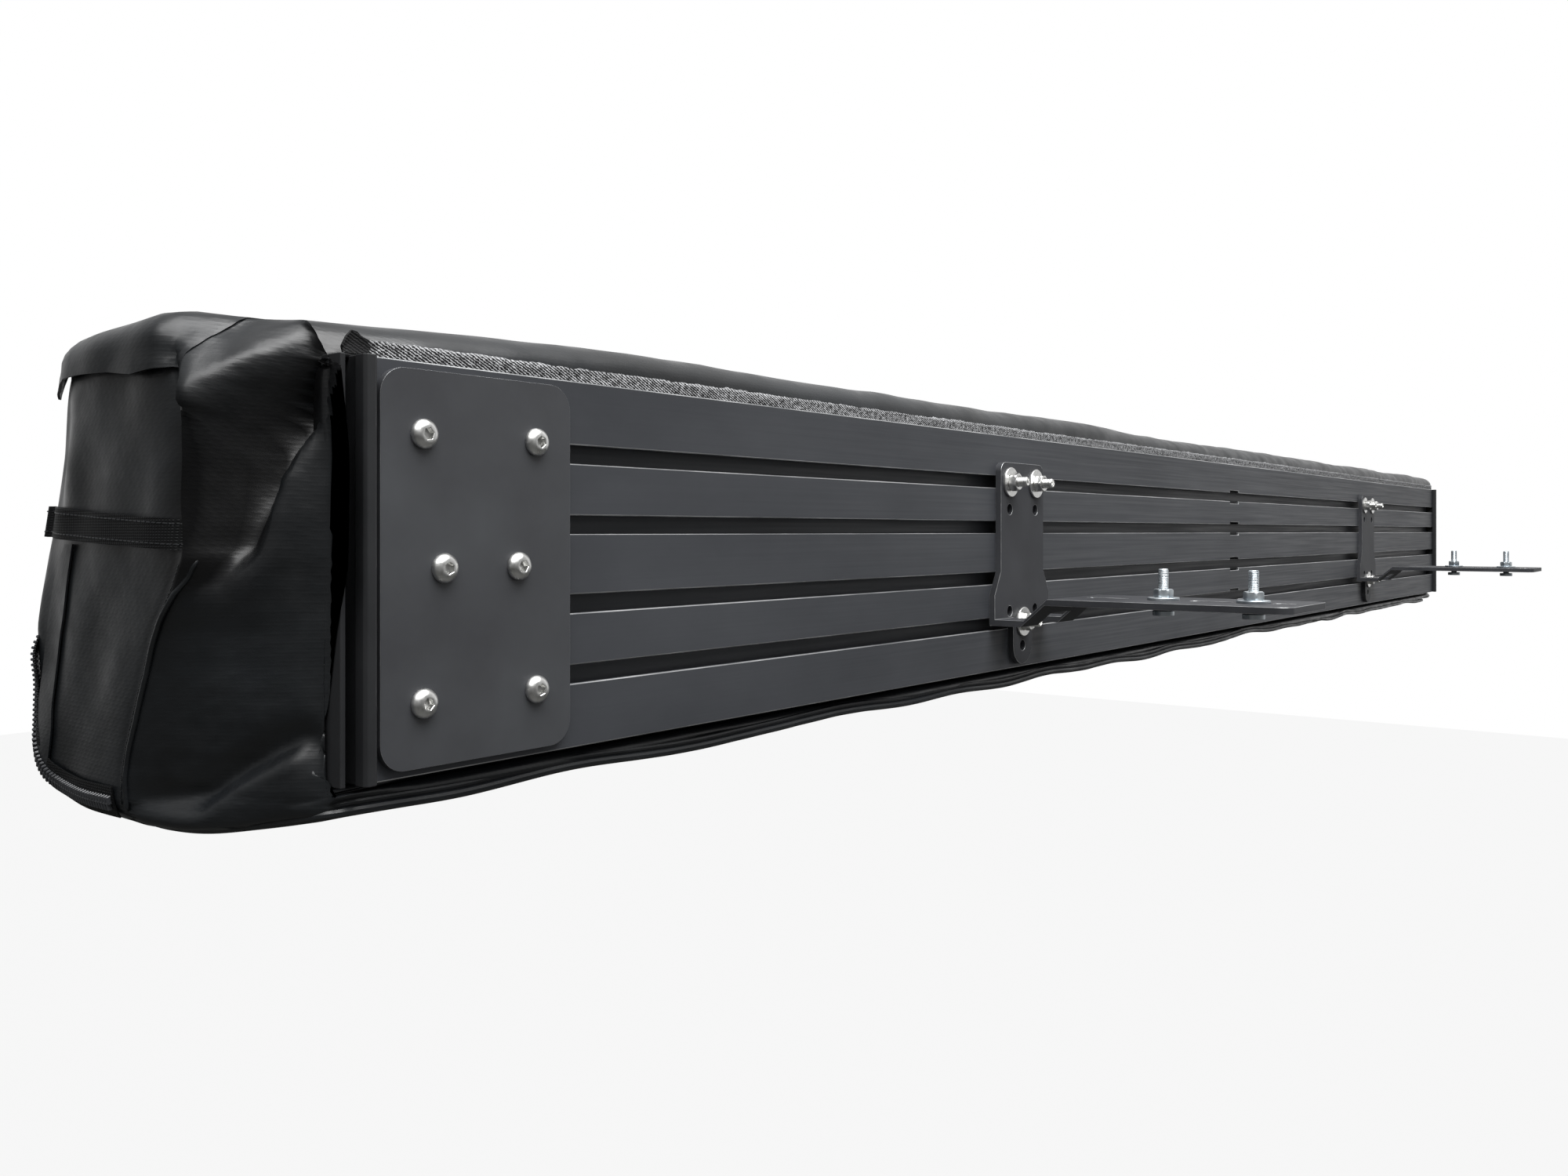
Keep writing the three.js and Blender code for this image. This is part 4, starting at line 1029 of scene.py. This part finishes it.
def zip_frame(path):
    """Direction, outward normal and sideways direction of the zip at each point."""
    ahead, step = unit(np.gradient(path, axis=0)), 1.5
    y, z = path[:, 1].clip(20, 194), path[:, 2].clip(-19, 205)
    slope_y = (end_surface(y + step, z) - end_surface(y - step, z)) / (2 * step)
    slope_z = (end_surface(y, z + step) - end_surface(y, z - step)) / (2 * step)
    share = np.where(path[:, 0] < -20, np.interp(path[:, 0], [-54, -20], [1, 0]), 0)[:, None]
    normal = unit(np.stack([-np.ones(len(path)), slope_y, slope_z], axis=1)) * share + [0, 1, 0] * (1 - share)
    for _ in range(25):
        normal[1:-1] = (normal[:-2] + 2 * normal[1:-1] + normal[2:]) / 4
    normal = unit(normal - ahead * (normal * ahead).sum(1, keepdims=True))
    return ahead, normal, np.cross(normal, ahead)


zip_ahead, zip_normal, zip_side = zip_frame(zip_fine)
print("zip", round(run_along(zip_fine)[-1]), "mm long")

# %% Zip tape
half_tape = np.interp(zip_fine[:, 0], [-50, -15], [7.5, 13.5])[:, None, None]
across = np.linspace(-1, 1, 9)[None, :, None]
tape_rows = zip_fine[:, None] + across * half_tape * zip_side[:, None]
cupped = 0.02 * (half_tape * across) ** 2 * (zip_fine[:, :1, None] < -20)
tape_rows = tape_rows - zip_normal[:, None] * (0.45 + cupped)
zip_band = ribbon("zip_tape_woven", tape_rows[::2], 0.7, webbing, side=-1)
print("zip tape", len(zip_band.data.polygons), "faces")

# %% Places along a path


def turns_from(ahead, normal):
    """Euler angles that lay +X along ahead and +Z along normal."""
    columns = np.stack([ahead, np.cross(normal, ahead), normal], axis=2)
    return [tuple(Matrix(m.tolist()).to_euler()) for m in columns]


def rows_along(path, pitch, shift=0.0):
    """Indexes as real numbers where a piece stands every pitch millimetres along the path."""
    run = run_along(path)
    return np.interp(np.arange(shift + pitch, run[-1] - pitch, pitch), run, np.arange(len(path)))


def picked(values, where_on):
    """Values between the points of a path, at real-numbered indexes."""
    return np.stack([np.interp(where_on, np.arange(len(values)), values[:, k]) for k in range(3)], axis=1)


tooth_pitch = 2.54
print("teeth on each tape:", len(rows_along(zip_fine, tooth_pitch)))

# %% One tooth
# Acetal: black and slick, so that each tooth has its own small highlight; its grey colour is painted highlight
acetal_with_painted_highlight = finish("moulded_black_acetal_painted_grey", ((2,), "#303134", "#46484B"), ((1.2,), 0.24, 0.36), IOR=1.48,
    Specular_IOR_Level=0.45)
work = bmesh.new()
bmesh.ops.create_cube(work, size=1.0)
bmesh.ops.scale(work, vec=(0.0018, 0.0044, 0.0026), verts=work.verts)
for v in work.verts:
    if v.co.z > 0:
        v.co.x *= 0.7
        v.co.y *= 0.86
bmesh.ops.bevel(work, geom=list(work.edges), offset=0.0003, segments=1, affect="EDGES")
tooth = filled("zip_tooth", work)
tooth.data.materials.append(acetal_with_painted_highlight)
print("a tooth has", len(tooth.data.polygons), "faces")

# %% Zip teeth
places, aheads, normals = [], [], []
for side, shift in ((1, 0.0), (-1, tooth_pitch / 2)):
    spots = rows_along(zip_fine, tooth_pitch, shift)
    normals.append(picked(zip_normal, spots))
    aheads.append(picked(zip_ahead, spots))
    places.append(picked(zip_fine, spots) + picked(zip_side, spots) * side * 1.5 + normals[-1] * 0.6)
turns = turns_from(np.vstack(aheads), np.vstack(normals))
zip_teeth = repeated("zip_teeth", tooth, np.vstack(places), turns)

# %% [markdown]
# Each stitch is a short piece of thread 0.7 mm thick that lies on the cloth. The rows run along both
# edges of the strap, the flap's lower edge, the facing, the seam and both sides of the zip.

# %% Stitches
work = bmesh.new()
bmesh.ops.create_cone(work, cap_ends=True, segments=6, radius1=0.00036, radius2=0.00036, depth=0.0027,
    matrix=Matrix.Rotation(math.pi / 2, 4, "Y"))
bmesh.ops.scale(work, vec=(1, 1, 0.8), verts=work.verts)
stitch = filled("stitch", work)
stitch.data.materials.append(thread)


def stitch_row(path, outwards=(-1, 0, 0), pitch=3.6):
    """Places and turns of stitches along a path that lies on cloth."""
    spots = rows_along(path, pitch)
    ahead = unit(picked(np.gradient(path, axis=0), spots))
    normal = picked(np.broadcast_to(np.asarray(outwards, float), path.shape), spots)
    normal = unit(normal - ahead * (normal * ahead).sum(1, keepdims=True))
    return picked(path, spots), turns_from(ahead, normal)


rows = [stitch_row(strap_rows[:, k], (-1, 0.02, 0)) for k in (1, 5)] + [stitch_row(flap_rows[:, 1])]
rows += [stitch_row(on_end(facing_outer * a + facing_inner * (1 - a), 1.0)) for a in (0.86, 0.14)]
rows.append(stitch_row(on_end(seam_path + [3.2, 0.6], 0.1)))
for share in (0.62, -0.62):
    beside = tape_rows[:, 4] + share * half_tape[:, 0] * zip_side
    rows.append(stitch_row(beside[::4], zip_normal[::4], 4.2))
stitches = repeated("stitches", stitch, np.vstack([r[0] for r in rows]), [t for r in rows for t in r[1]])

# %% [markdown]
# ### Edge tape
# A woven strip closes the gap between the plate's top edge and the bag. It is an open grey and black
# weave with a frayed upper edge, so the weave is drawn at 1.5 mm, about twice as coarse as it is, the
# upper edge is paler and uneven, for its frayed yarn and a painted highlight from the light above, and
# the end that is folded in at the corner stays black.

# %% Woven tape


def open_weave(tree, where):
    """Slanting strands, broken by flecks."""
    places = [add(tree, "ShaderNodeVectorMath", {0: where, 1: stretch}, 0, operation="MULTIPLY")
        for stretch in ((1, 0, 2), (1, 0, 1))]
    slant = add(tree, "ShaderNodeTexWave", {"Vector": places[0], "Scale": wave_mm / 1.495997, "Distortion": 3.5,
        "Detail Scale": 3.0}, "Fac", bands_direction="DIAGONAL")
    fleck = add(tree, "ShaderNodeTexNoise", {"Vector": places[1], "Scale": 500 / 1.5, "Detail": 2.0}, "Fac")
    return add(tree, "ShaderNodeMath", {0: slant, 1: fleck}, 0, operation="MULTIPLY")


def weave_with_fray_and_highlight(tree, where):
    """The weave with its pale upper edge, frayed yarn under a painted highlight, and black at its folded end.
    """
    place = add(tree, "ShaderNodeSeparateXYZ", {0: where}).outputs
    (fold_x, _, edge_z), (open_x, _, top_z) = at([(1, 0, 195.4), (7, 0, 197.2)]).tolist()
    # Paler towards the top: frayed yarn, and a painted highlight from the light above
    fray_and_painted_highlight = add(tree, "ShaderNodeMapRange", {"Value": place["Z"], "From Min": edge_z, "From Max": top_z,
        "To Max": 0.32}, "Result")
    opened = add(tree, "ShaderNodeMapRange", {"Value": place["X"], "From Min": fold_x, "From Max": open_x},
        "Result")
    weave_fray_and_highlight = add(tree, "ShaderNodeMath", {0: open_weave(tree, where), 1: fray_and_painted_highlight}, 0, operation="ADD")
    return add(tree, "ShaderNodeMath", {0: weave_fray_and_highlight, 1: opened}, 0, operation="MULTIPLY")


# Woven tape: grey and black yarn, dull, and rough enough to catch light from every side
tape_cloth = finish("grey_black_woven_tape", (weave_with_fray_and_highlight, "#08090A", "#C0C1C3", 0.24, 0.5),
    ((1.5, 2, 0.5, (1, 0, 1)), 0.55, 0.8), [(open_weave, 0.5, 0.8)], Specular_IOR_Level=0.3)
print("tape cloth:", len(tape_cloth.node_tree.nodes), "nodes")

# %% Edge tape
tape_x = np.concatenate([[-9, -7, -4.5, -2, 0, 2], np.linspace(5, plate_length - 1, 900)])
tape_top = 197.2 + 0.45 * waves(tape_x, 0, 9, 61) + 0.35 * waves(tape_x, 0, 60, 62)
tape_top[:6] = [193, 197.5, 200.5, 200.0, 198.4, 197.6]
bulge = 0.4 * waves(tape_x, 0, 80, 63)
tape_low, t, edge_rows = plate_height + 0.25, np.linspace(0, 1, 7), []
for x, top_z, out in zip(tape_x, tape_top, bulge):
    y = 1.9 + out * np.sin(np.pi * t) - 0.5 * (x < 4)
    edge_rows.append(np.column_stack([np.full(7, x), y, tape_low + (top_z - tape_low) * t]))
edge_band = ribbon("edge_tape_woven", edge_rows, 1.1, tape_cloth)
settled(edge_band, "root", "webbing", "edge_tape")
print("edge tape", len(edge_band.data.polygons), "faces")

# %% [markdown]
# ## Folded canopy
# Three fields of ripstop hang between the four arms. Packed, each one is folded to and fro beside its
# arm. It is drawn as one surface that zigzags in twelve layers, so its area is that of the cloth it
# holds. The cloth between opened arms is not drawn, because it can't stretch in a model of hinges.

# %% Canopy cloth


def ripstop_squares(tree, where):
    """The thicker yarns of ripstop, in squares of 5.9 mm."""
    flat = add(tree, "ShaderNodeVectorMath", {0: where, 1: (1, 0, 1)}, 0, operation="MULTIPLY")
    return add(tree, "ShaderNodeTexBrick", {"Vector": flat, "Scale": 1000 / 5.88235, "Mortar Size": 0.05,
        "Brick Width": 1.0, "Row Height": 1.0}, "Fac", offset=0.0)


# Ripstop: pale and matt, with a faint net of squares
shade = (55, 4, 0.6)
ripstop = finish("sand_grey_ripstop_polyester", (shade, "#6F716B", "#8B8D86", 0.3, 0.7), (shade, 0.5, 0.68),
    [(ripstop_squares, 0.2, 0.5)], Specular_IOR_Level=0.25)
layers, tall_mm = 12, 95.0


def zigzag(low, high):
    """The (y, z) line of a folded field inside its pack, layer after layer."""
    pitch, top_z = (high[1] - low[1] - 1.4) / layers, high[2] - 4
    line = []
    for n in range(layers):
        y = low[1] + 0.7 + pitch * (n + 0.5)
        start, end = (top_z - tall_mm, top_z)[::1 if n % 2 == 0 else -1]
        line += [(y, z) for z in np.linspace(start, end, 10)]
        line.append((y + pitch / 2, end + math.copysign(1.6, end - start)))
    return np.array(line[:-1])


print("one folded field holds", round(layers * tall_mm), "mm of cloth")

# %% Folded fields
for k in range(1, 4):
    low, high = ((np.array(v) - zero) * 1000 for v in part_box(f"canopy_pack_{k}"))
    line = zigzag(low, high)
    stations = np.linspace(low[0], high[0], 90)
    points = []
    for x in stations:
        sag = 1.8 * waves(np.full(len(line), x * 0.4), line[:, 0] * 9, 120, 70 + k)
        hanging = line[:, 1] < high[2] - 34
        points.append(np.column_stack([np.full(len(line), x), line[:, 0], line[:, 1] + sag * hanging]))
    faces = ring_faces(len(stations), len(line), closed=False)
    pack = solid_from(f"canopy_field_{k}", np.vstack(points), faces, ripstop)
    settled(pack, f"arm_{k + 1}", "canopy", f"canopy_pack_{k}")
print("canopy fields of", layers, "layers")

# %% [markdown]
# ## Zip slider
# The slider is a cast body with a bridge, and a flat puller hangs from it. Its solid is a simple
# block, so the piece is built here from a rounded plan with a crowned top.

# %% Slabs
# Enamelled zinc: glossier than the cloth round it
cast_black = finish("black_enamelled_zinc_casting", ((4, 3), "#161718", "#242628"), ((1.5,), 0.25, 0.4))


def slab(plan, y_low, y_high, crown, inset=0.5):
    """A closed plate in front of the bag: its (x, z) outline, with broken edges."""
    plan = np.asarray(plan, float)
    middle = plan.mean(0)
    reach = np.linalg.norm(plan - middle, axis=1, keepdims=True)
    outer = [(1 - share / reach, y) for share, y in (
        (inset, y_low), (0, y_low + inset), (0, y_high - inset), (inset, y_high))]
    rings = []
    for size, y in outer + [((1 - inset / reach) * 0.5, y_high + crown)]:
        p = middle + (plan - middle) * size
        rings.append(np.column_stack([p[:, 0], np.full(len(p), y), p[:, 1]]))
    return solid_from("slab", np.vstack(rings), closed_faces(len(rings), len(plan)), cast_black)


def rounded_plan(x0, x1, z0, z1, radius, pinch=0.0):
    """An outline with rounded corners, pinched at the end where the two tapes meet."""
    out = []
    for cx, cz, start in ((x1 - radius, z1 - radius, 0), (x0 + radius, z1 - radius, 90),
            (x0 + radius, z0 + radius, 180), (x1 - radius, z0 + radius, 270)):
        for a in np.radians(start + np.linspace(0, 90, 7)):
            x, z = cx + radius * math.cos(a), cz + radius * math.sin(a)
            out.append((x, zip_z + (z - zip_z) * (1 - pinch * (x1 - x) / (x1 - x0))))
    return out


print("a plan has", len(rounded_plan(0, 9, 70, 86, 2)), "corners")

# %% Slider and puller
body = slab(rounded_plan(2231, 2255, 71, 85, 4, 0.35), 198.3, 200.6, 0.5)
bridge = slab(rounded_plan(2237, 2250, 75.5, 80.5, 2), 200.4, 203.0, 0.4)
link = slab(rounded_plan(2229, 2240, 76, 80, 1.6), 201.4, 203.4, 0.2)
puller = slab(rounded_plan(2209, 2231, 74, 82, 3, -0.1), 201.2, 203.2, 0.4)
slider = joined("zip_slider_cast", body, bridge, link, puller)
print("slider", len(slider.data.polygons), "faces")

# %% [markdown]
# ## Opening
# The bag is unzipped and dropped by hand before the arms move. In the model each piece of the bag, and
# everything that is sewn on it, rides on a body with a mesh of its own, and the bag's floor is found.

# %% What moves with what
floor_of_bag = float(at((0, 0, -24))[2])


def opens_with_bag(piece, slot, *nodes, body="root"):
    """A piece of the bag, which rides on its body with a mesh of its own."""
    settled(piece, body, slot, *nodes)
    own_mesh(piece)


for piece, slot, *nodes in ((bag, "vinyl", "bag_cover"), (zip_band, "webbing", "zip_tape"),
        (strap, "webbing", "end_strap"), (zip_teeth, "plastic"), (flap, "vinyl"), (tab, "vinyl"),
        (seam_lip, "vinyl"), (facing, "vinyl"), (hem, "vinyl"), (stitches, "webbing")):
    opens_with_bag(piece, slot, *nodes)
opens_with_bag(slider, "black_steel", "zip_slider", body="zip_slider")
print("the bag's floor is at z", round(floor_of_bag, 3), "m")

# %% [markdown]
# ## Light and floor
# A large soft lamp stands over the open side, as daylight from a skylight would, and a small one over
# the near corner puts the sheen on its full fold. The sky is white where the camera looks at it. A
# gloss sees it white on the side of the backdrop and dim on the side of the camera, as in a studio,
# and it fills the shadows only a little. The floor lies below the feet of the opened legs. It is dark
# grey to light and to gloss, so that black pieces stay black from below, and pale only to the camera.

# %% Sky
world = bpy.data.worlds.new("pale_sky")
bpy.context.scene.world = world
world.use_nodes = True
tree = world.node_tree
path = add(tree, "ShaderNodeLightPath").outputs
seen = add(tree, "ShaderNodeMath", {0: path["Is Camera Ray"], 1: path["Is Glossy Ray"]}, 0, operation="MAXIMUM")
seen = add(tree, "ShaderNodeMath", {0: seen, 1: path["Is Transmission Ray"]}, 0, operation="MAXIMUM")
towards = add(tree, "ShaderNodeTexCoord", out="Generated")
height = add(tree, "ShaderNodeSeparateXYZ", {0: towards}, "Z")
to_backdrop = add(tree, "ShaderNodeVectorMath", {0: towards, 1: (0.82, 0.38, 0.0)}, "Value",
    operation="DOT_PRODUCT")
screen, level = (add(tree, "ShaderNodeMapRange", {"Value": value, "From Min": start, "From Max": end,
    "To Min": low, "To Max": high}, "Result")
    for value, start, end, low, high in ((to_backdrop, -0.2, 0.95, 0.2, 1.0), (height, 0.1, 0.8, 0.0, 0.7)))
studio = add(tree, "ShaderNodeMath", {0: screen, 1: level}, 0, operation="MAXIMUM")
mirrored = add(tree, "ShaderNodeMix", {"Factor": seen, "A": 0.42, "B": studio}, "Result")
shown = add(tree, "ShaderNodeMath", {0: mirrored, 1: path["Is Camera Ray"]}, 0, operation="MAXIMUM")
background = tree.nodes["Background"].inputs
background["Color"].default_value = (1, 1, 1, 1)
tree.links.new(shown, background["Strength"])
print("sky:", len(tree.nodes), "nodes")

# %% Lamps


def soft_lamp(name, place_mm, aim_mm, size, power):
    """A square area lamp, its side in metres and its power in watts."""
    data = bpy.data.lights.new(name, "AREA")
    data.shape, data.size, data.energy = "SQUARE", size, power
    lamp = linked(name, data)
    lamp.location = Vector(at(place_mm))
    lamp.rotation_euler = (Vector(at(aim_mm)) - lamp.location).to_track_quat("-Z", "Y").to_euler()


soft_lamp("overhead", (300, -1100, 2600), (500, 60, 60), 2.2, 140)
soft_lamp("corner_sheen", (-1150, -560, 1950), (-40, 40, 180), 1.3, 26)
print("lamps:", len(bpy.data.lights))

# %% Floor
# Floor paint: matt, and even enough not to be noticed
floor_paint = finish("pale_floor_paint", ((160, 4), "#545452", "#5E5E5C"), Roughness=0.7)
tree = floor_paint.node_tree
shine = add(tree, "ShaderNodeEmission", {"Color": (1, 1, 1, 1), "Strength": 1.0}, 0)
to_camera = add(tree, "ShaderNodeLightPath", out="Is Camera Ray")
to_camera = add(tree, "ShaderNodeMath", {0: to_camera, 1: 0.92}, 0, operation="MULTIPLY")
paint = tree.nodes["Principled BSDF"].outputs[0]
tree.links.new(add(tree, "ShaderNodeMixShader", {0: to_camera, 1: paint, 2: shine}, 0),
    tree.nodes["Material Output"].inputs["Surface"])
mesh = bpy.data.meshes.new("floor")
reach, drop = 14.0, -2.03
mesh.from_pydata([(x * reach, y * reach, drop) for x, y in ((-1, -1), (1, -1), (1, 1), (-1, 1))], [],
    [(0, 1, 2, 3)])
mesh.materials.append(floor_paint)
linked("floor", mesh)
print("floor at z", drop, "m")
